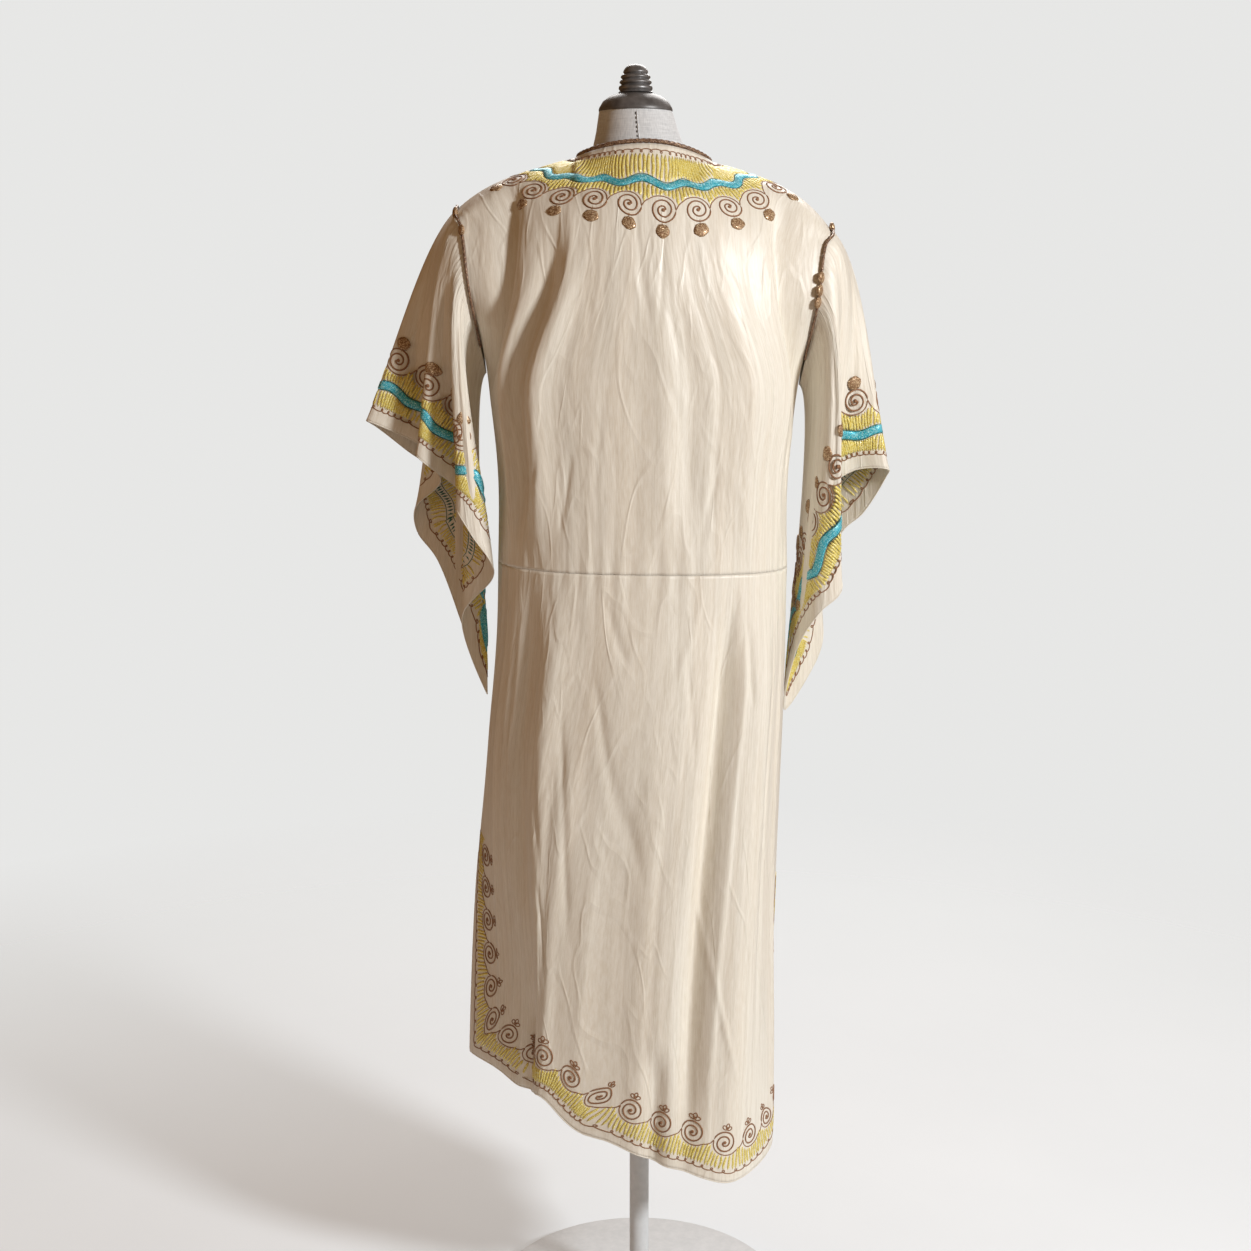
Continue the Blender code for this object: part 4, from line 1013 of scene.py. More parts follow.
def joined_object(name, meshes):
    """One object from several (vertices, quads) meshes, with its faces pointing outwards."""
    offset, points, faces = 0, [], []
    for vertices, quads in meshes:
        points.append(vertices)
        faces.append(quads + offset)
        offset += len(vertices)
    mesh = bpy.data.meshes.new(name)
    mesh.from_pydata(np.concatenate(points).tolist(), [], np.concatenate(faces).tolist())
    facing_out(mesh)
    mesh.shade_smooth()
    return placed(name, mesh)


# %% [markdown]
# The drawings are traditional ones: a line of little loops beside the edge, a band filled with
# upright satin strokes, a turquoise wave through its middle, a running scroll, and a glitter ball or
# a trefoil of three petals at each scroll.

# %% Drawings in run and reach
LOOP_PITCH = 0.0118
LOOP_SWING = 0.0036
LOOP_DROP = 0.0021
LOOP_POINTS = 14
LEAST_STROKE = 0.004
STROKE_POINTS = 7
Sway = namedtuple("Sway", "size change bend start")
STROKE_SWAY = Sway(0.0006, 2.4, 1.5, 90)
SCROLL_RADIUS = 0.0118
SPIRAL_POINTS = 48
SPIRAL_TURNS = np.radians([180, 90, 0, -90, -180, -270, -360, -450, -540])
SPIRAL_SIZES = np.array([1.22, 1.13, 1.04, 0.94, 0.78, 0.62, 0.50, 0.36, 0.20])
JOIN_ACROSS = np.array([-1.20, -1.08, -0.62, 0.10, 0.85, 1.40, -1.50, -1.22])
JOIN_UP = np.array([0.00, -0.60, -1.12, -1.34, -1.22, -0.88, -0.50, 0.00])
JOIN_FROM_NEXT = np.array([0, 0, 0, 0, 0, 0, 1, 1])
JOIN_POINTS = 30
Scallop = namedtuple("Scallop", "shift half_width start bulge")
SCALLOP = Scallop(0.1, 1.45, 0.45, 0.90)


def loop_line(start, end, reach):
    """A line of small loops: a point rolls along the run and swings back once in each pitch."""
    count = max(int(round((end - start) / LOOP_PITCH)), 1)
    t = np.linspace(0, count, count * LOOP_POINTS + 1)
    pitch = (end - start) / count
    run = start + pitch * t + LOOP_SWING * np.sin(2 * math.pi * t)
    return run[None], (reach - LOOP_DROP * np.cos(2 * math.pi * t))[None]


def strokes(start, end, pitch, low, high, points=STROKE_POINTS):
    """Upright satin strokes from low(run) to high(run), each a little crooked in its own way."""
    count = int((end - start) / pitch)
    run = start + (np.arange(count) + 0.5) * (end - start) / count
    bottom, top = low(run), high(run)
    keep = top - bottom > LEAST_STROKE
    run, bottom, top = run[keep], bottom[keep], top[keep]
    t = np.linspace(0, 1, points)[None, :]
    sway = STROKE_SWAY.size * np.sin(STROKE_SWAY.change * run / pitch)[:, None]
    sway = sway * np.sin(math.pi * t * STROKE_SWAY.bend + run[:, None] * STROKE_SWAY.start)
    return run[:, None] + sway, bottom[:, None] + (top - bottom)[:, None] * t


def scroll_spirals(centres, reach):
    """Spirals: from the left over the far side and inwards by two turns, their radius from a table."""
    angle = np.linspace(SPIRAL_TURNS[0], SPIRAL_TURNS[-1], SPIRAL_POINTS)
    radius = SCROLL_RADIUS * through(SPIRAL_TURNS[::-1], SPIRAL_SIZES[::-1], angle)
    run = centres[:, None] + (radius * np.cos(angle))[None]
    return run, reach + (radius * np.sin(angle))[None] + 0 * run


def scroll_waves(centres, pitch, reach):
    """The line that joins the scrolls: round the near side of one and up to the left of the next."""
    across = JOIN_FROM_NEXT * pitch + JOIN_ACROSS * SCROLL_RADIUS
    knots = np.stack([across, JOIN_UP * SCROLL_RADIUS], axis=-1)
    smooth = through(np.arange(len(knots)), knots, np.linspace(0, len(knots) - 1, JOIN_POINTS))
    return centres[:, None] + smooth[None, :, 0], reach + smooth[None, :, 1] + 0 * centres[:, None]


def scallop(centres, pitch, reach):
    """The edge of the strokes under the scrolls, as a function of the run."""
    def edge(run):
        x = (run - centres[0] - SCALLOP.shift * SCROLL_RADIUS + pitch / 2) % pitch - pitch / 2
        bulge = np.sqrt(np.clip(1 - (x / (SCALLOP.half_width * SCROLL_RADIUS)) ** 2, 0, 1))
        return reach + SCROLL_RADIUS * (-SCALLOP.start - SCALLOP.bulge * bulge)
    return edge


# %% [markdown]
# A trefoil is three closed loops of thread. A glitter ball is a little padded dome, wrapped unevenly,
# so it is rings of points that shrink towards the crown and bulge in five places.

# %% Petals and balls
PETAL_TURNS = (math.radians(90), math.radians(158), math.radians(22))
PETAL_HALF_LENGTH = 0.0036
PETAL_HALF_WIDTH = 0.0023
PETAL_POINTS = 13
DOME_SIDES = 14
DOME_RINGS = np.array([0.0, 1.0, 0.96, 0.82, 0.55, 0.0])
DOME_RISE = np.array([0.0, 0.0, 0.45, 0.78, 0.96, 1.0])
BALL_BULGE = 0.05
BALL_BULGES = 5


def trefoils(centres, reach):
    """Three petals above each centre: each is a closed loop that leaves the foot and comes back."""
    t = np.linspace(0, 2 * math.pi, PETAL_POINTS)
    along, wide = PETAL_HALF_LENGTH * (1 - np.cos(t)), PETAL_HALF_WIDTH * np.sin(t)
    runs, reaches = [], []
    for turn in PETAL_TURNS:
        runs.append(centres[:, None] + (along * math.cos(turn) - wide * math.sin(turn))[None])
        petal = (along * math.sin(turn) + wide * math.cos(turn))[None]
        reaches.append(reach + petal + 0 * centres[:, None])
    return np.concatenate(runs), np.concatenate(reaches)


def turns(sides):
    """The angles of evenly spaced points round a ring."""
    return np.linspace(0, 2 * math.pi, sides, endpoint=False)


def wrapped(turn):
    """How large an unevenly wrapped ball is at each angle."""
    return 1 + BALL_BULGE * np.sin(BALL_BULGES * turn)


def ring_quads(shape, closed=False):
    """Quads between neighbouring rings of points[..., ring, side], and from the last to the first."""
    index = np.arange(np.prod(shape)).reshape(shape)
    if closed:
        index = np.concatenate([index, index[..., :1, :]], axis=-2)
    following = np.roll(index, -1, axis=-1)
    quads = [index[..., :-1, :], following[..., :-1, :], following[..., 1:, :], index[..., 1:, :]]
    return np.stack(quads, axis=-1).reshape(-1, 4)


def dome_mesh(border, centres, reach, radius, height, under):
    """Low domes on the cloth: rings from the rim to the crown, each a little bumpy, closed below."""
    turn = turns(DOME_SIDES)
    size = radius * wrapped(turn)
    run = centres[:, None, None] + DOME_RINGS[:, None] * (size * np.cos(turn))[None, :]
    reach = reach + DOME_RINGS[:, None] * (size * np.sin(turn))[None, :] + 0 * run
    side = -1.0 if under else 1.0
    points, _ = border.at(run, reach, side * (THREAD_BASE + height * DOME_RISE[:, None]) + 0 * run)
    return points.reshape(-1, 3), ring_quads(run.shape)


# %% [markdown]
# ## The borders, stitched
#
# One table says where each part of a border lies, in metres from the edge. The sleeves and the yoke
# have the turquoise wave and glitter balls. The skirt has no wave, and trefoils in place of balls.

# %% Embroidery of each border
Design = namedtuple("Design", "loops strokes pitch half_width wave swing wave_length scrolls "
                              "scroll_pitch crown")
HEM_DESIGN = Design(0.0135, 0.0165, 0.0043, 0.0016, None, 0.0, 0.0, 0.0505, 0.0420, 0.0675)
SLEEVE_DESIGN = Design(0.0180, 0.0205, 0.0040, 0.0017, 0.0440, 0.0040, 0.0760, 0.0810, 0.0385, 0.1020)
YOKE_DESIGN = Design(0.0080, 0.0112, 0.0049, 0.0019, 0.0470, 0.0044, 0.0540, 0.0815, 0.0405, 0.1045)
Laid = namedtuple("Laid", "half_width height shoulder")
LINE = Laid(0.00075, 0.0006, 0.55)
SPIRAL = Laid(0.00105, 0.0009, 0.55)
OUTLINE = Laid(0.00050, 0.0006, 0.55)
WAVE = Laid(0.0053, 0.0010, 0.78)
RUNG = Laid(0.0013, 0.0004, 0.55)
BALL_NECK = Laid(0.0030, 0.0012, 0.55)
STROKE_HEIGHT = 0.0008
STROKE_SHOULDER = 0.78
WRONG_SIDE_WIDTH = 0.62
RUNG_PITCH = 0.0042
RUNG_HALF_LENGTH = 0.0042
RUNG_POINTS = 3
GAP_TO_WAVE = 0.0008
GAP_TO_SCROLLS = 0.0008
OUTLINE_GAP = 0.0004
Dome = namedtuple("Dome", "radius height")
SCROLL_EYE = Dome(0.0021, 0.0013)
BALL = Dome(0.0078, 0.0022)
TREFOIL_FOOT = Dome(0.0014, 0.0009)
TREFOIL_SHIFT = 0.002
NECK_STARTS = 0.95
NECK_ENDS = 0.8
NECK_LEAN = 0.0004

stitching = {}


def stitch(kind, where, mesh):
    """Keep a mesh under the name of its thread and its place."""
    stitching.setdefault((kind, where), []).append(mesh)


def embroider(where, border, design, ends, crown, reverse=False, under=False):
    """Work one border: loops, strokes, wave, scrolls, and balls or trefoils at the scrolls' crowns.

    reverse draws it from the other end, which turns the scrolls the other way.
    """
    start, end = ends
    count = int(round((end - start) / design.scroll_pitch))
    pitch = (end - start) / count
    centres = start + (np.arange(count) + 0.5) * pitch
    edge = scallop(centres, pitch, design.scrolls)

    def lay(kind, lines, laid):
        run = start + end - lines[0] if reverse else lines[0]
        stitch(kind, where, ridge_mesh(border, run, lines[1], *laid, under))

    def pad(kind, places, reach, dome):
        places = start + end - places if reverse else places
        stitch(kind, where, dome_mesh(border, places, reach, *dome, under))

    lay("scroll_thread", loop_line(start, end, design.loops), LINE)
    lay("scroll_thread", scroll_spirals(centres, design.scrolls), SPIRAL)
    lay("scroll_thread", scroll_waves(centres, pitch, design.scrolls), LINE)
    bands = [(lambda run: 0 * run + design.strokes, lambda run: edge(run) - GAP_TO_SCROLLS)]
    if design.wave is not None:
        def wave(run):
            return design.wave + design.swing * np.sin(2 * math.pi * (run - start) / design.wave_length)
        low_side, high_side = bands[0]
        bands = [(low_side, lambda run: wave(run) - WAVE.half_width - GAP_TO_WAVE),
                 (lambda run: wave(run) + WAVE.half_width + GAP_TO_WAVE, high_side)]
        line = np.linspace(start, end, int((end - start) / REACH_STEP) + 1)[None]
        if under:
            rungs = strokes(start, end, RUNG_PITCH, lambda run: wave(run) - RUNG_HALF_LENGTH,
                            lambda run: wave(run) + RUNG_HALF_LENGTH, RUNG_POINTS)
            lay("green_thread", rungs, RUNG)
        else:
            lay("turquoise_thread", (line, wave(line)), WAVE)
        for side in (-1, 1):
            lay("green_thread", (line, wave(line) + side * (WAVE.half_width + OUTLINE_GAP)), OUTLINE)
    half_width = design.half_width * (WRONG_SIDE_WIDTH if under else 1.0)
    for low, high in bands:
        lay("yellow_thread", strokes(start, end, design.pitch, low, high),
            Laid(half_width, STROKE_HEIGHT, STROKE_SHOULDER))
    pad("scroll_thread", centres, design.scrolls, SCROLL_EYE)
    if crown == "balls":
        pad("bronze_thread", centres, design.crown, BALL)
        neck = np.stack([centres, centres + NECK_LEAN], axis=1)
        feet = np.array([design.scrolls + SCROLL_RADIUS * NECK_STARTS,
                         design.crown - BALL.radius * NECK_ENDS])
        lay("bronze_thread", (neck, feet + 0 * neck), BALL_NECK)
    if crown == "trefoils":
        lay("scroll_thread", trefoils(centres - TREFOIL_SHIFT, design.crown), LINE)
        pad("scroll_thread", centres - TREFOIL_SHIFT, design.crown, TREFOIL_FOOT)


for where, design, margin, crown, reverse in (
        ("back_hem", HEM_DESIGN, 0.004, "trefoils", False),
        ("front_hem", HEM_DESIGN, 0.004, "trefoils", True),
        ("back_yoke", YOKE_DESIGN, 0.001, "balls", True),
        ("front_yoke", YOKE_DESIGN, 0.001, "balls", False)):
    border = borders[where]
    embroider(where, border, design, (margin, border.length - margin), crown, reverse)
for where in ("sleeve_left", "sleeve_right"):
    whole = (0.0, borders[where].length)
    embroider(where, borders[where], SLEEVE_DESIGN, whole, "balls")
    embroider(where + "_wrong_side", borders[where], SLEEVE_DESIGN, whole, None, under=True)

threads = {}
for (kind, where), meshes in stitching.items():
    piece = joined_object(f"{where}_{kind}", meshes)
    threads.setdefault(kind, []).append(piece)
    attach(piece, "root")
    print(piece.name, "triangles", 2 * len(piece.data.polygons))

# %% [markdown]
# ## Braid and hem edges
#
# A glittering braid binds the neckline and covers the upper part of the armhole seams. It is a tube
# whose section has three lobes that turn as they go, like a laid cord, which is lighter than twisting
# three strands and looks the same at this size.

# %% Cords
NECK_BRAID_RADIUS = 0.0028
ARMHOLE_BRAID_RADIUS = 0.0021
BRAID_GAP = 0.0007
NECK_BRAID_RISE = math.radians(62)
NECK_POINT_BRAID_RISE = math.radians(25)
LOBE_SWELL = 0.13
STEEP = 0.92
TIP_SIZE = 0.2


def evenly(points, spacing, closed):
    """The same line with points at an even spacing."""
    if closed:
        points = np.concatenate([points, points[:1]])
    length = lengths(points)
    count = int(length[-1] / spacing) + 1
    at = np.linspace(0, length[-1], count, endpoint=not closed)
    return np.stack([np.interp(at, length, points[:, i]) for i in range(3)], axis=-1)


def cord_mesh(points, radius, closed, sides, lobes=0, twist=0.0):
    """A tube round a line: its radius swells in lobes that turn by twist for each metre."""
    wrap = np.concatenate([points[-1:], points, points[:1]]) if closed else points
    forward = unit(np.gradient(wrap, axis=0))
    forward = forward[1:-1] if closed else forward
    upright = np.where(np.abs(forward[:, 2:3]) > STEEP, [[0.0, 1.0, 0.0]], [[0.0, 0.0, 1.0]])
    side = unit(np.cross(forward, upright))
    up = np.cross(side, forward)
    turn = turns(sides)[None, :]
    swell = LOBE_SWELL * np.cos(lobes * (turn - twist * lengths(points)[:, None])) if lobes else 0 * turn
    size = radius * (1 + swell)
    if not closed:
        from_tip = np.minimum(np.arange(len(points)), np.arange(len(points))[::-1])
        size = size * np.clip(from_tip + TIP_SIZE, 0, 1)[:, None]
    ring = points[:, None] + (side[:, None] * (np.cos(turn) * size)[..., None]
                              + up[:, None] * (np.sin(turn) * size)[..., None])
    return ring.reshape(-1, 3), ring_quads((len(points), sides), closed)


# %% [markdown]
# The neck's braid follows the cloth's edge and leans in where the cloth does. An armhole's braid lies
# in the angle between the bodice and the sleeve, so its line is set off from the seam by both. A few
# glitter balls are sewn on it, each at its distance down the back from the shoulder.

# %% Braid paths
BRAID_SPACING = 0.0012


def neck_path():
    """The braid's line just off the neckline: steep on the back and the front, leaning in between."""
    across = np.linspace(-NECK_SHARE, NECK_SHARE, 161)[:-1]
    edge = np.concatenate([bodice(facing, -facing * across, np.array([1.0]))[0] for facing in (-1, 1)])
    inward = unit(np.array([NECK_CENTRE_X, 0.0]) - edge[:, :2])
    share = np.abs(np.concatenate([across, across])) / NECK_SHARE
    rise = NECK_BRAID_RISE + (NECK_POINT_BRAID_RISE - NECK_BRAID_RISE) * share ** 3
    leaving = np.column_stack([inward * np.cos(rise)[:, None], np.sin(rise)])
    return edge + leaving * (BRAID_GAP + NECK_BRAID_RADIUS)


def armhole_path(side):
    """The braid's line over an armhole seam, between bodice and sleeve. It is open under the arm."""
    loop, leaving, share = edge_loop(side)
    half = len(loop) // 2
    short = half // 8
    order = np.concatenate([np.arange(half + short, 2 * half - 1), np.arange(0, half - short)])
    seam, leaving, share = loop[order], leaving[order], share[order]
    along = np.gradient(seam, axis=0)
    sides = [unit(np.cross(direction, along) * -SHOULDERS[side].sign)
             for direction in (leaving, sleeve_direction(side, share))]
    middle = unit(sides[0] + sides[1])
    stand_off = SOLID_WALL / 2 + BRAID_GAP + ARMHOLE_BRAID_RADIUS
    return seam + middle * (stand_off / np.sum(middle * sides[0], axis=-1))[:, None]


ArmholeBall = namedtuple("ArmholeBall", "side from_shoulder")
ARMHOLE_BALLS = table(ArmholeBall,
    ("left", 0.030), ("left", 0.062), ("right", 0.010),
    ("right", 0.098), ("right", 0.113), ("right", 0.127),
)
ARMHOLE_BALL_SIZE = (0.0072, 0.0072, 0.0034)
ARMHOLE_BALL_RINGS = 9
BODY_AXIS_Y = 0.04
DOWN_STEP = 0.001


def armhole_ball(ball):
    """A flattened ball on the braid, at its distance from the shoulder down the back."""
    path = armhole_path(ball.side)
    top = int(np.argmax(path[:, 2]))
    down = evenly(path[top:], DOWN_STEP, False)
    place = int(ball.from_shoulder / DOWN_STEP)
    along = unit(down[place + 2] - down[place])
    away = down[place + 1] - np.array([BODY_CENTRE_X, BODY_AXIS_Y, down[place + 1, 2]])
    away = unit(away - along * np.sum(away * along))
    axes = np.stack([along, np.cross(away, along), away])
    turn = turns(DOME_SIDES)
    lift = np.linspace(0, math.pi, ARMHOLE_BALL_RINGS)[:, None]
    flat = np.sin(lift) * wrapped(turn)
    ring = np.stack([flat * np.cos(turn), flat * np.sin(turn), np.cos(lift) + 0 * turn], axis=-1)
    points = down[place + 1] + (ring * ARMHOLE_BALL_SIZE) @ axes
    return points.reshape(-1, 3), ring_quads(points.shape[:2])


# %% [markdown]
# Now the braids are laid, a little slimmer than those of the measured model, so that their lobes don't
# stand out past its solids.

# %% Lay the braids and the armholes' balls
BRAID_TWIST = 2 * math.pi / 0.021
BRAID_SIDES = 12
BRAID_LOBES = 3
NECK_BRAID_SHARE = 0.92
ARMHOLE_BRAID_SHARE = 0.75


def braid(name, path, radius, closed):
    """A laid braid along a path: a lobed tube with its points at an even spacing."""
    line = evenly(path, BRAID_SPACING, closed)
    return joined_object(name, [cord_mesh(line, radius, closed, BRAID_SIDES, BRAID_LOBES, BRAID_TWIST)])


braids = {"neck_braid": braid("neck_glitter_braid", neck_path(), NECK_BRAID_RADIUS * NECK_BRAID_SHARE, True)}
for side in SHOULDERS:
    braids["armhole_braid_" + side] = braid(f"armhole_glitter_braid_{side}", armhole_path(side),
                                            ARMHOLE_BRAID_RADIUS * ARMHOLE_BRAID_SHARE, False)
armhole_balls = joined_object("armhole_glitter_balls", [armhole_ball(ball) for ball in ARMHOLE_BALLS])
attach(armhole_balls, "root")
for node, piece in braids.items():
    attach(piece, "root")
    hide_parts(node)
    print(piece.name, "triangles", 2 * len(piece.data.polygons))

# %% [markdown]
# The free edges of the cloth are rolled and sewn down, which shows as a thin bright cord along the
# slits, the hem of the skirt and the hems of the sleeves.

# %% Rolled hems
HEM_ROLL_RADIUS = 0.0009
HEM_ROLL_SIDES = 6
HEM_ROLL_SPACING = 0.003


def hem_roll(name, path, closed):
    """A rolled edge: a thin tube along the cloth's free edge."""
    line = evenly(path, HEM_ROLL_SPACING, closed)
    return joined_object(name, [cord_mesh(line, HEM_ROLL_RADIUS, closed, HEM_ROLL_SIDES)])


hem_rolls = []
for word, facing in FACINGS:
    slit = np.linspace(SLIT_START, 1.0, 80)
    left, right = [skirt(facing, np.array([edge]), slit)[:, 0] for edge in (-1.0, 1.0)]
    hem = skirt(facing, np.linspace(-1, 1, 241), np.array([1.0]))[0]
    path = np.concatenate([left, hem[1:-1], right[::-1]])
    hem_rolls.append(hem_roll(word + "_skirt_hem_roll", path, False))
for side in SHOULDERS:
    hem_rolls.append(hem_roll(f"sleeve_{side}_hem_roll", sleeve_hem(side, PAPER_PER_ROW)[0], True))
for piece in hem_rolls:
    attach(piece, "root")
    print(piece.name, "triangles", 2 * len(piece.data.polygons))

# %% [markdown]
# ## The dress form and its stand
#
# The form is a smooth padded torso under canvas, with a turned cap and knob on its neck and a round
# base below. Turned pieces are outlines swept round an axis. The torso is a loft through its rings.

# %% Turned pieces
Turn = namedtuple("Turn", "radius height")
CAP_CENTRE = (-0.006, 0.010)
CAP_OUTLINE = table(Turn,
    (0.0000, 1.5500), (0.0100, 1.5500), (0.0200, 1.5498), (0.0300, 1.5470),
    (0.0390, 1.5405), (0.0432, 1.5335), (0.0440, 1.5310), (0.0438, 1.5295),
    (0.0430, 1.5293), (0.0000, 1.5293),
)
FINIAL_OUTLINE = table(Turn,
    (0.0000, 1.5835), (0.0060, 1.5829), (0.0104, 1.5808), (0.0134, 1.5776),
    (0.0148, 1.5742), (0.0136, 1.5722), (0.0166, 1.5706), (0.0177, 1.5682),
    (0.0158, 1.5660), (0.0183, 1.5644), (0.0191, 1.5620), (0.0168, 1.5598),
    (0.0195, 1.5580), (0.0201, 1.5550), (0.0186, 1.5527), (0.0198, 1.5503),
    (0.0000, 1.5503),
)
COLLAR_OUTLINE = table(Turn,
    (0.0000, 0.7197), (0.0415, 0.7197), (0.0420, 0.7192), (0.0420, 0.7145),
    (0.0412, 0.7138), (0.0222, 0.7082), (0.0212, 0.7070), (0.0200, 0.6808),
    (0.0192, 0.6800), (0.0000, 0.6800),
)
POLE_OUTLINE = table(Turn,
    (0.0000, 0.6797), (0.0122, 0.6797), (0.0125, 0.6794), (0.0125, 0.0187),
    (0.0122, 0.0184), (0.0000, 0.0184),
)
BASE_OUTLINE = table(Turn,
    (0.0000, 0.0180), (0.0300, 0.0180), (0.1850, 0.0180), (0.1874, 0.0174),
    (0.1894, 0.0158), (0.1900, 0.0138), (0.1900, 0.0010), (0.1892, 0.0000),
    (0.1500, 0.0000), (0.0000, 0.0000),
)
TURNED_SHARP = math.radians(42)


def round_object(name, rings, uv_size, sharp):
    """A closed shell from rings of points: its poles are merged and its sharp edges are kept."""
    piece = grid_object(name, rings, uv_size, closed=True)
    facing_out(piece.data, merge=True)
    piece.data.set_sharp_from_angle(angle=sharp)
    return piece


def turned(name, outline, centre, sides, smooth=1):
    """An outline swept round an upright axis; smooth adds points on a curve through the outline."""
    shape = np.array(outline)
    if smooth > 1:
        last = len(shape) - 1
        shape = through(np.arange(last + 1), shape, np.linspace(0, last, last * smooth + 1))
        shape[:, 0] = np.maximum(shape[:, 0], 0.0)
    turn = turns(sides)
    x = centre[0] + shape[:, 0, None] * np.cos(turn)
    y = centre[1] + shape[:, 0, None] * np.sin(turn)
    rings = np.stack([x, y, shape[:, 1, None] + 0 * x], axis=-1)
    return round_object(name, rings, (1.0, 1.0), TURNED_SHARP)


stand = {
    "neck_cap": turned("smooth_neck_cap", CAP_OUTLINE, CAP_CENTRE, 72),
    "finial": turned("ringed_finial", FINIAL_OUTLINE, CAP_CENTRE, 56, 3),
    "pole_collar": turned("torso_collar", COLLAR_OUTLINE, (0.0, 0.0), 56),
    "stand_pole": turned("round_pole", POLE_OUTLINE, (0.0, 0.0), 40),
    "stand_base": turned("round_base", BASE_OUTLINE, (0.0, 0.0), 96),
}
for node, piece in stand.items():
    print(node, "triangles", 2 * len(piece.data.polygons))

# %% [markdown]
# The torso is padded and covered with canvas, so it has no hard edges: each of its rings is a rounded
# ellipse, and the surface runs straight between two of them. It lies a little inside the measured
# torso under the cloth, and on it at the bare neck. The canvas is joined there by a seam down the
# centre back: a welt and a line of dark stitches.

# %% Torso and its centre-back seam
TorsoRing = namedtuple("TorsoRing", "height centre_x centre_y half_width half_depth squareness")
TORSO_RINGS = table(TorsoRing,
    (1.5290, -0.006, 0.010, 0.0435, 0.0420, 1.00),
    (1.5050, -0.004, 0.009, 0.0490, 0.0440, 1.00),
    (1.4830, -0.002, 0.008, 0.0560, 0.0470, 1.00),
    (1.4650, 0.000, 0.004, 0.0640, 0.0480, 0.98),
    (1.4565, 0.001, -0.002, 0.0900, 0.0500, 0.97),
    (1.4475, 0.002, -0.003, 0.1220, 0.0550, 0.96),
    (1.4330, 0.003, -0.003, 0.1500, 0.0635, 0.94),
    (1.4080, 0.003, 0.000, 0.1660, 0.0720, 0.92),
    (1.3700, 0.003, 0.004, 0.1700, 0.0840, 0.90),
    (1.3000, 0.003, 0.010, 0.1620, 0.0950, 0.88),
    (1.2100, 0.003, 0.012, 0.1550, 0.1050, 0.90),
    (1.1000, 0.003, 0.008, 0.1300, 0.0900, 0.92),
    (1.0000, 0.003, 0.002, 0.1160, 0.0820, 0.94),
    (0.9100, 0.002, 0.000, 0.1350, 0.0900, 0.92),
    (0.8200, 0.000, 0.000, 0.1540, 0.0980, 0.90),
    (0.7300, 0.000, 0.000, 0.1560, 0.0990, 0.90),
    (0.7200, 0.000, 0.000, 0.1500, 0.0940, 0.90),
)
TORSO_ROWS = 40
TORSO_LOWER, TORSO_UPPER = (0.72, 1.40), (1.405, 1.529)
TORSO_INSET = 0.0008
INSET_ENDS = (1.465, 1.483)
TORSO_SIDES = 112
TORSO_SHARP = math.radians(50)


def torso_points(turn, height):
    """The torso's surface: at each height a superellipse between those of the two rings beside it."""
    rings = np.array(TORSO_RINGS)[::-1]
    centre_x, centre_y, half_width, half_depth, squareness = [
        np.interp(height, rings[:, 0], rings[:, i])[:, None] for i in range(1, 6)]
    inset = TORSO_INSET * (1 - ease(height, *INSET_ENDS))[:, None]
    cosine, sine = np.cos(turn)[None], np.sin(turn)[None]
    x = centre_x + (half_width - inset) * np.sign(cosine) * np.abs(cosine) ** squareness
    y = centre_y + (half_depth - inset) * np.sign(sine) * np.abs(sine) ** squareness
    return np.stack([x, y, height[:, None] + 0 * x], axis=-1)


heights = np.concatenate([np.linspace(*ends, TORSO_ROWS) for ends in (TORSO_LOWER, TORSO_UPPER)])
shell = torso_points(turns(TORSO_SIDES), heights)
floor_row = shell[:1] * np.array([0.0, 0.0, 1.0])
top_row = shell[-1:] * np.array([0.0, 0.0, 1.0]) + np.array([*CAP_CENTRE, 0.0])
rings = np.concatenate([floor_row, shell, top_row])
stand["torso_form"] = round_object("canvas_torso", rings, (1.0, 0.8), TORSO_SHARP)

SEAM_TURN = math.radians(269.0)
WELT_BESIDE = 0.035
WELT_ENDS = (1.478, 1.528)
WELT_RADIUS = 0.0007
STITCH_ENDS = (1.4855, 1.5255)
STITCH_LENGTH = 0.0034
STITCH_PITCH = 0.0052
STITCH_RADIUS = 0.0006
STITCH_LIFT = 0.0002
dashes = []
for low in np.arange(*STITCH_ENDS, STITCH_PITCH):
    line = torso_points(np.array([SEAM_TURN]), np.linspace(low, low + STITCH_LENGTH, 4))[:, 0]
    dashes.append(cord_mesh(line - np.array([0.0, STITCH_LIFT, 0.0]), STITCH_RADIUS, False, 6))
welt = torso_points(np.array([SEAM_TURN + WELT_BESIDE]), np.linspace(*WELT_ENDS, 26))[:, 0]
seam_stitches = joined_object("centre_back_stitches", dashes)
seam_welt = joined_object("centre_back_welt", [cord_mesh(welt, WELT_RADIUS, False, 8)])
print("stitches in the canvas seam", len(dashes))
for node, piece in stand.items():
    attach(piece, "root")
    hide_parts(node)
for piece in (seam_stitches, seam_welt):
    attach(piece, "root")

# %% [markdown]
# ## Shader maths
#
# A material is a graph of nodes. Wrapping a socket in a small class lets the graph be written as
# ordinary expressions, so a finish reads like the sentence that describes it.

# %% Sockets as numbers


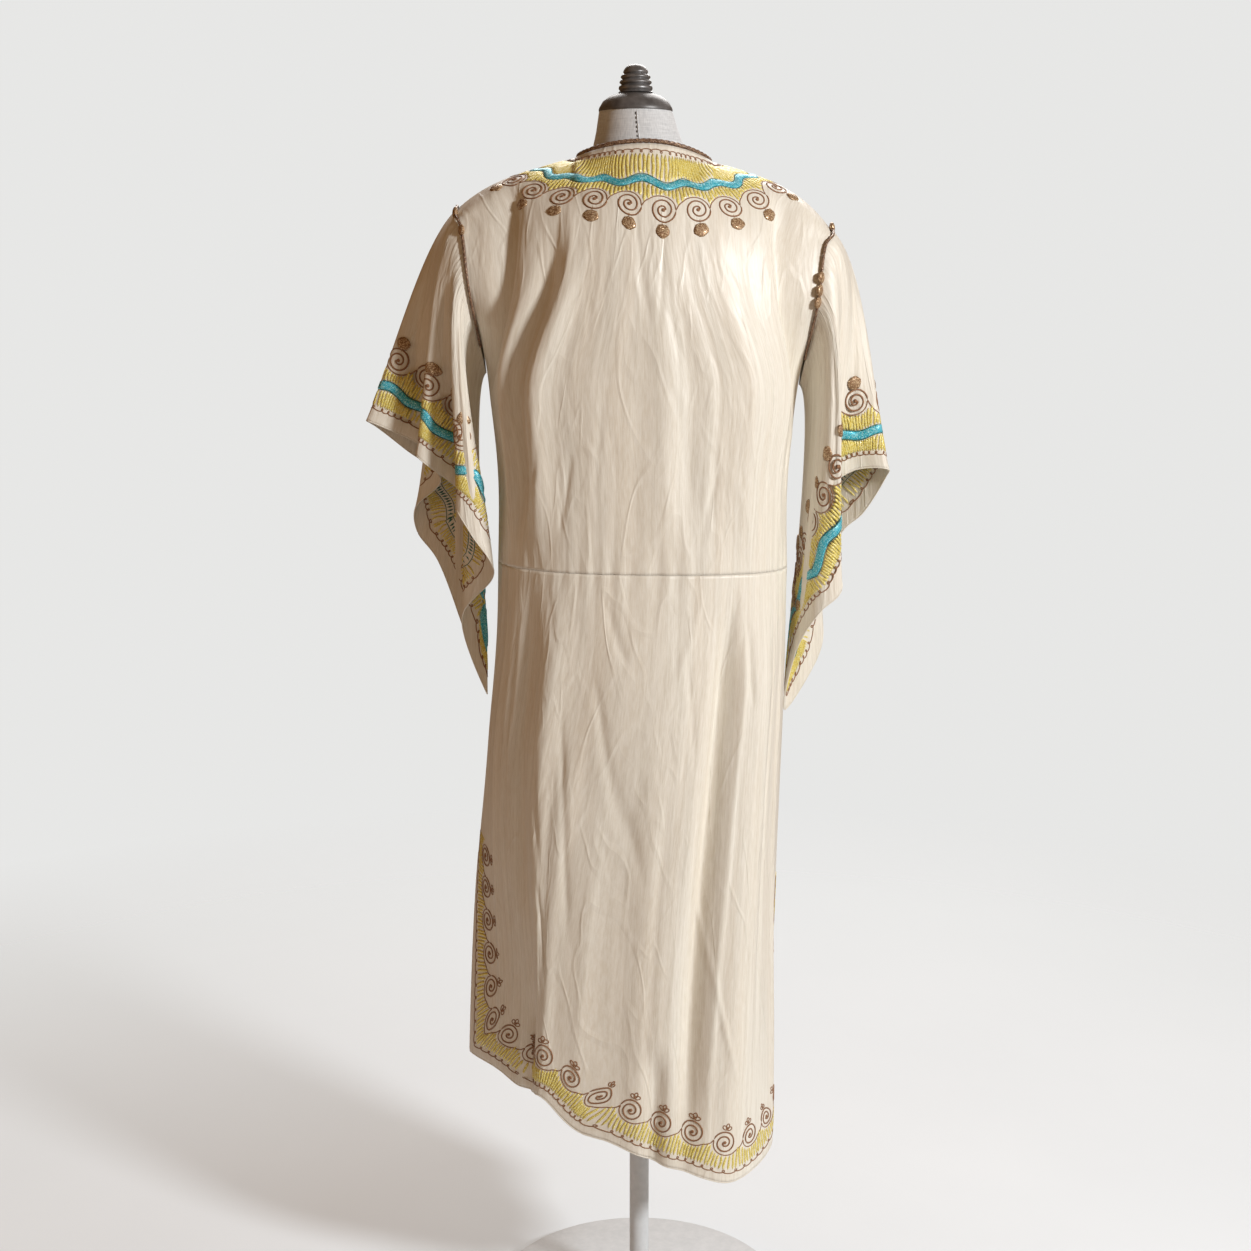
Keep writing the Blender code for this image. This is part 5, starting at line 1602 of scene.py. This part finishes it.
class Wire:
    """A value that flows through a material; arithmetic on it adds Math nodes."""

    def __init__(self, paint, socket):
        self.paint, self.socket = paint, socket

    def _math(self, operation, first, second):
        return self.paint.node("ShaderNodeMath", {"operation": operation}, {0: first, 1: second})

    def __add__(self, other):
        return self._math("ADD", self, other)

    def __radd__(self, other):
        return self._math("ADD", other, self)

    def __sub__(self, other):
        return self._math("SUBTRACT", self, other)

    def __rsub__(self, other):
        return self._math("SUBTRACT", other, self)

    def __mul__(self, other):
        return self._math("MULTIPLY", self, other)

    def __rmul__(self, other):
        return self._math("MULTIPLY", other, self)

    def clamp(self, low, high):
        """This value mapped so that low becomes 0 and high becomes 1, and held between them."""
        return self.paint.node("ShaderNodeMapRange", {"clamp": True}, {0: self, 1: low, 2: high})


class Paint:
    """One material: its nodes are added by name, and its Principled shader takes the results."""

    def __init__(self, name, **constants):
        self.material = bpy.data.materials.new(name)
        self.material.use_nodes = True
        self.tree = self.material.node_tree
        self.shader = self.tree.nodes["Principled BSDF"]
        for socket, value in constants.items():
            self.shader.inputs[socket.replace("_", " ")].default_value = value

    def node(self, kind, settings=None, inputs=None, output=0):
        """Add a node: settings first, then a value or a link for each named or numbered input."""
        made = self.tree.nodes.new(kind)
        for key, value in (settings or {}).items():
            setattr(made, key, value)
        for key, value in (inputs or {}).items():
            if isinstance(value, Wire):
                self.tree.links.new(value.socket, made.inputs[key])
            else:
                made.inputs[key].default_value = value
        return Wire(self, made.outputs[output])

    def places(self, source, scale):
        """Texture positions from a source such as Object or UV, scaled along each axis."""
        where = self.node("ShaderNodeTexCoord", output=source)
        return self.node("ShaderNodeMapping", None, {"Vector": where, "Scale": scale})

    def leaning(self, source, size, turn):
        """Texture positions in a frame turned by an angle, where one unit is as long as size."""
        where = self.node("ShaderNodeTexCoord", output=source)
        return self.node("ShaderNodeMapping", {"vector_type": "TEXTURE"},
                         {"Vector": where, "Scale": size, "Rotation": (0.0, 0.0, turn)})

    def creases(self, where, width):
        """Thin wandering lines, 1 on the line and 0 beside it: where soft noise has its middle value."""
        off = self.noise(where, 1.0, 2.0) - 0.5
        return self.node("ShaderNodeMath", {"operation": "ABSOLUTE"}, {0: off}).clamp(width, 0.0)

    def noise(self, where, scale, detail=2.0, roughness=0.5):
        """Soft noise from 0 to 1."""
        return self.node("ShaderNodeTexNoise", None,
                         {"Vector": where, "Scale": scale, "Detail": detail, "Roughness": roughness})

    def fibres(self, source, scale, detail=1.0, roughness=0.5):
        """Soft noise drawn out into fibres: scale is how many lie in a metre along each axis."""
        return self.noise(self.places(source, scale), 1.0, detail, roughness)

    def grains(self, where, scale):
        """A random value from 0 to 1 in each small cell, as glitter has."""
        cell = self.node("ShaderNodeTexVoronoi", {"feature": "F1"},
                         {"Vector": where, "Scale": scale}, "Color")
        return self.node("ShaderNodeSeparateColor", None, {0: cell})

    def mix(self, share, first, second):
        """Blend two colours by a value from 0 to 1: a Mix node's colours are its sockets 6, 7 and 2."""
        first = first if isinstance(first, Wire) else (*first, 1.0)
        second = second if isinstance(second, Wire) else (*second, 1.0)
        return self.node("ShaderNodeMix", {"data_type": "RGBA"}, {0: share, 6: first, 7: second}, 2)

    def bump(self, height, strength, distance):
        """Small relief from a height."""
        return self.node("ShaderNodeBump", None,
                         {"Strength": strength, "Distance": distance, "Height": height})

    def finish(self, **links):
        """Link results to the shader's inputs."""
        for socket, value in links.items():
            self.tree.links.new(value.socket, self.shader.inputs[socket.replace("_", " ")])
        return self.material


# %% [markdown]
# ## Finishes
#
# The cloth is raw-silk satin: cream, with fine upright slub lines, a soft sheen and a tight weave.
# Broad tan patches in its colour are partly slub and partly painted golden shade. A picture of satin
# could be wrapped on it, but noise drawn out along the weave has no edge or repeat.
# It reads each panel's own UV map, in metres, so the slubs run up the cloth also where it folds.
# Wrinkles too short for the fold tables are relief: lines that lean left or right, in patches.

# %% Satin cloth
CREAM_SHADE, CREAM = (0.68, 0.635, 0.535), (0.84, 0.805, 0.71)
# The tan is partly slub colour and partly painted golden shade.
TAN_SLUB_AND_SHADE, PALE_THREAD = (0.73, 0.62, 0.475), (0.93, 0.915, 0.85)


def satin():
    """Cream satin: streaks, threads and tan patches of slub and painted shade tint it; threads, leaning
    creases and cockle raise it.
    """
    paint = Paint("cream slub satin", Roughness=0.42, Sheen_Weight=0.25, Sheen_Roughness=0.4,
                  Specular_IOR_Level=0.6)
    streaks = paint.fibres("UV", (260.0, 5.0, 1.0), 3.0, 0.6)
    broad = paint.fibres("UV", (34.0, 2.2, 1.0), 2.0)
    threads = paint.fibres("UV", (1050.0, 60.0, 1.0), 2.0, 0.6)
    picks = paint.fibres("UV", (160.0, 1900.0, 1.0))
    ground = paint.mix(streaks.clamp(0.30, 0.70), CREAM_SHADE, CREAM)
    # Broad tan patches: partly slub tone, and partly painted shade, a warm golden tan laid into the colour
    # at random.
    colour = paint.mix(broad.clamp(0.38, 0.66) * 0.30, ground, TAN_SLUB_AND_SHADE)
    colour = paint.mix(threads.clamp(0.38, 0.64) * 0.34, colour, PALE_THREAD)
    relief = streaks * 0.11 + threads * 0.11 + picks * 0.05
    patches = paint.noise(paint.leaning("UV", (0.11, 0.16, 1.0), 0.0), 1.0, 1.0).clamp(0.42, 0.62)
    to_left = paint.creases(paint.leaning("UV", (0.050, 0.240, 1.0), math.radians(11)), 0.035)
    to_right = paint.creases(paint.leaning("UV", (0.042, 0.200, 1.0), math.radians(-9)), 0.030)
    cockle = paint.noise(paint.leaning("UV", (0.016, 0.075, 1.0), math.radians(4)), 1.0)
    relief = relief + to_left * patches * 0.46 + to_right * (1.0 - patches) * 0.42 + cockle * 1.7
    return paint.finish(Base_Color=colour, Roughness=streaks * 0.16 + 0.36,
                        Normal=paint.bump(relief, 1.0, 0.0010))


# %% [markdown]
# Glitter thread is a core wound with a bright strip that breaks up the light. A cell pattern gives each
# small grain its own colour and gloss; its bright grains are partly the strip's colour and partly
# painted glints. The scrolls and outlines are matt thread, with painted shade: darker patches that
# stand for the shade between turns.

# %% Threads and braid
WHOLE = (1.0, 1.0, 1.0)


def glitter(name, dark, mid, bright, scale, metallic, thread_scale):
    """Metallic thread: small grains from dark to bright, the bright partly painted glints, over the ridges
    of laid thread.
    """
    paint = Paint(name, Roughness=0.4, Metallic=metallic, Specular_IOR_Level=0.6)
    where = paint.places("Object", WHOLE)
    grain = paint.grains(where, scale)
    soft = paint.noise(where, thread_scale, 2.0, 0.6)
    body = paint.mix(soft.clamp(0.3, 0.7), dark, mid)
    # Bright grains: partly the foil strip's own colour, and partly painted glints.
    colour = paint.mix(grain.clamp(0.55, 0.95), body, bright)
    return paint.finish(Base_Color=colour, Roughness=0.62 - grain * 0.38,
                        Normal=paint.bump(grain * 0.6 + soft * 0.4, 0.6, 0.0005))


def plain_thread(name, dark, mid, scale):
    """Matt twisted thread: painted shade, darker in small patches that stand for the shade between its
    turns.
    """
    paint = Paint(name, Roughness=0.6, Sheen_Weight=0.2)
    soft = paint.noise(paint.places("Object", WHOLE), scale, 2.0, 0.6)
    # Painted shade: the dark end of this noise stands for the shade between the thread's turns.
    return paint.finish(Base_Color=paint.mix(soft.clamp(0.3, 0.7), dark, mid),
                        Normal=paint.bump(soft, 0.5, 0.0003))


# %% [markdown]
# The form is plainer than the cloth, so it stays in the background: pale canvas of two crossing sets of
# threads, a lacquered cap, a dark turned knob with the marks of the lathe, and a painted stand.

# %% Canvas, cap, metal and paint
CANVAS_SHADE, CANVAS, CANVAS_CLOUD = (0.51, 0.525, 0.535), (0.70, 0.715, 0.72), (0.60, 0.61, 0.62)


def canvas():
    """Pale form canvas: two crossing sets of threads."""
    paint = Paint("form canvas", Roughness=0.85, Sheen_Weight=0.15)
    warp = paint.fibres("Object", (900.0, 900.0, 60.0))
    weft = paint.fibres("Object", (60.0, 60.0, 1100.0))
    weave = (warp + weft) * 0.5
    cloudy = paint.noise(paint.places("Object", WHOLE), 18.0, 3.0)
    base = paint.mix(weave.clamp(0.35, 0.65), CANVAS_SHADE, CANVAS)
    return paint.finish(Base_Color=paint.mix(cloudy.clamp(0.3, 0.8) * 0.3, base, CANVAS_CLOUD),
                        Normal=paint.bump(weave, 0.5, 0.0005))


def worn_metal(name, dark, mid, metallic, roughness):
    """Satin metal or lacquer with faint turning marks and a little wear."""
    paint = Paint(name, Roughness=roughness, Metallic=metallic)
    marks = paint.fibres("Object", (40.0, 40.0, 2600.0), 2.0)
    wear = paint.noise(paint.places("Object", WHOLE), 90.0, 4.0, 0.6)
    return paint.finish(Base_Color=paint.mix(wear.clamp(0.35, 0.75), dark, mid),
                        Roughness=marks * 0.18 + roughness, Normal=paint.bump(marks, 0.15, 0.0002))


# %% [markdown]
# Every finish is made once, and then each piece is given one.

# %% Give each piece its finish
FINISHES = {
    "cloth": satin(),
    "yellow_thread": glitter("yellow glitter thread", (0.60, 0.46, 0.05), (0.84, 0.69, 0.15),
                             (0.98, 0.93, 0.50), 1500.0, 0.15, 700.0),
    "turquoise_thread": glitter("turquoise glitter thread", (0.008, 0.30, 0.42), (0.02, 0.50, 0.64),
                                (0.48, 0.92, 0.96), 1300.0, 0.2, 600.0),
    "bronze_thread": glitter("bronze glitter thread", (0.15, 0.070, 0.028), (0.33, 0.185, 0.085),
                             (0.86, 0.66, 0.42), 1200.0, 0.35, 500.0),
    "braid": glitter("dark glitter braid", (0.050, 0.022, 0.012), (0.150, 0.070, 0.038),
                     (0.55, 0.36, 0.22), 1300.0, 0.15, 500.0),
    "scroll_thread": plain_thread("red-brown thread", (0.17, 0.068, 0.026), (0.37, 0.19, 0.085), 1500.0),
    "green_thread": plain_thread("dark green thread", (0.012, 0.080, 0.065), (0.03, 0.20, 0.155), 1500.0),
    "canvas": canvas(),
    "cap": worn_metal("grey cap lacquer", (0.085, 0.080, 0.078), (0.17, 0.162, 0.158), 0.25, 0.34),
    "finial": worn_metal("dark turned metal", (0.12, 0.118, 0.118), (0.27, 0.265, 0.265), 0.55, 0.30),
    "stand": worn_metal("pale stand paint", (0.60, 0.625, 0.64), (0.68, 0.70, 0.715), 0.0, 0.40),
    "black": plain_thread("black thread", (0.010, 0.010, 0.012), (0.03, 0.03, 0.03), 1500.0),
}
STAND_FINISHES = {"neck_cap": "cap", "finial": "finial", "torso_form": "canvas"}


def give(piece, finish):
    """Put one finish on a piece."""
    piece.data.materials.clear()
    piece.data.materials.append(FINISHES[finish])


for piece in list(cloth.values()) + hem_rolls:
    give(piece, "cloth")
for kind, pieces in threads.items():
    for piece in pieces:
        give(piece, kind)
for piece in braids.values():
    give(piece, "braid")
give(armhole_balls, "bronze_thread")
for node, piece in stand.items():
    give(piece, STAND_FINISHES.get(node, "stand"))
give(seam_stitches, "black")
give(seam_welt, "canvas")
print("finishes", len(FINISHES))

# %% [markdown]
# ## What the cloth is
#
# The bodices are draped over the form, and the skirts and sleeves hang from them.

# %% [markdown]
# ## Studio
#
# The floor is pale and fades out into a pale room, so the picture has no horizon. The camera sees the
# room pale, but the cloth is lit by a dim warm one, which makes its shade tan.

# %% Floor and room
FLOOR_SOLID, FLOOR_GONE = 0.5, 2.4
ROOM_SEEN = (0.80, 0.80, 0.79, 1.0)
ROOM_SHADE = (0.76, 0.42, 0.19, 1.0)
ROOM_STRENGTH = 0.23

floor_mesh = bpy.data.meshes.new("studio_floor")
floor_mesh.from_pydata([(-3, -3, 0), (3, -3, 0), (3, 3, 0), (-3, 3, 0)], [], [(0, 1, 2, 3)])
floor = placed("studio_floor", floor_mesh)
floor_paint = Paint("studio floor", Roughness=0.9)
grain = floor_paint.noise(floor_paint.places("Object", WHOLE), 2.0, 3.0)
reach = floor_paint.node("ShaderNodeVectorMath", {"operation": "LENGTH"},
                         {0: floor_paint.places("Object", WHOLE)}, "Value")
floor.data.materials.append(floor_paint.finish(
    Base_Color=floor_paint.mix(grain.clamp(0.3, 0.7), (0.79, 0.84, 0.88), (0.82, 0.87, 0.91)),
    Alpha=1.0 - reach.clamp(FLOOR_SOLID, FLOOR_GONE)))

world = bpy.data.worlds.new("studio room")
bpy.context.scene.world = world
world.use_nodes = True
room = world.node_tree
seen = room.nodes.new("ShaderNodeBackground")
seen.inputs["Color"].default_value = ROOM_SEEN
shade = room.nodes["Background"]
shade.inputs["Color"].default_value = ROOM_SHADE
shade.inputs["Strength"].default_value = ROOM_STRENGTH
choice = room.nodes.new("ShaderNodeMixShader")
ray = room.nodes.new("ShaderNodeLightPath")
room.links.new(ray.outputs["Is Camera Ray"], choice.inputs[0])
room.links.new(shade.outputs[0], choice.inputs[1])
room.links.new(seen.outputs[0], choice.inputs[2])
room.links.new(choice.outputs[0], room.nodes["World Output"].inputs["Surface"])
bpy.context.scene.view_settings.view_transform = "Standard"
print("floor solid to", FLOOR_SOLID, "m and gone at", FLOOR_GONE, "m")

# %% [markdown]
# One cool key lamp stands to the right of the camera and above it. It is fairly small, so each fold has
# a clear lit side. Two weak warm lamps, in front and at the left, keep the left sleeve and the recess
# beside it from going grey, and a broad lamp behind the garment brightens the floor.

# %% Lamps
Lamp = namedtuple("Lamp", "name place aim size power colour")
LAMPS = table(Lamp,
    ("key", (2.55, -2.25, 2.3), (0.0, 0.0, 0.95), 0.55, 122.0, (0.97, 0.985, 1.0)),
    ("front fill", (0.2, -3.4, 1.3), (0.0, 0.0, 0.8), 1.8, 5.0, (1.0, 0.78, 0.55)),
    ("left warm fill", (-2.6, -0.5, 1.2), (0.0, 0.0, 0.9), 1.6, 3.0, (1.0, 0.52, 0.24)),
    ("back glow", (0.3, 2.6, 3.2), (0.0, 0.6, 0.0), 2.4, 95.0, (1.0, 0.99, 0.98)),
)
for lamp in LAMPS:
    data = bpy.data.lights.new(lamp.name, "AREA")
    data.shape = "DISK"
    data.size = lamp.size
    data.energy = lamp.power
    data.color = lamp.colour
    light = placed(lamp.name, data)
    light.location = lamp.place
    aim = np.array(lamp.aim) - np.array(lamp.place)
    flat = math.hypot(aim[0], aim[1])
    light.rotation_euler = (math.atan2(flat, -aim[2]), 0.0, math.atan2(-aim[0], aim[1]))
    print(lamp.name, lamp.power, "W")
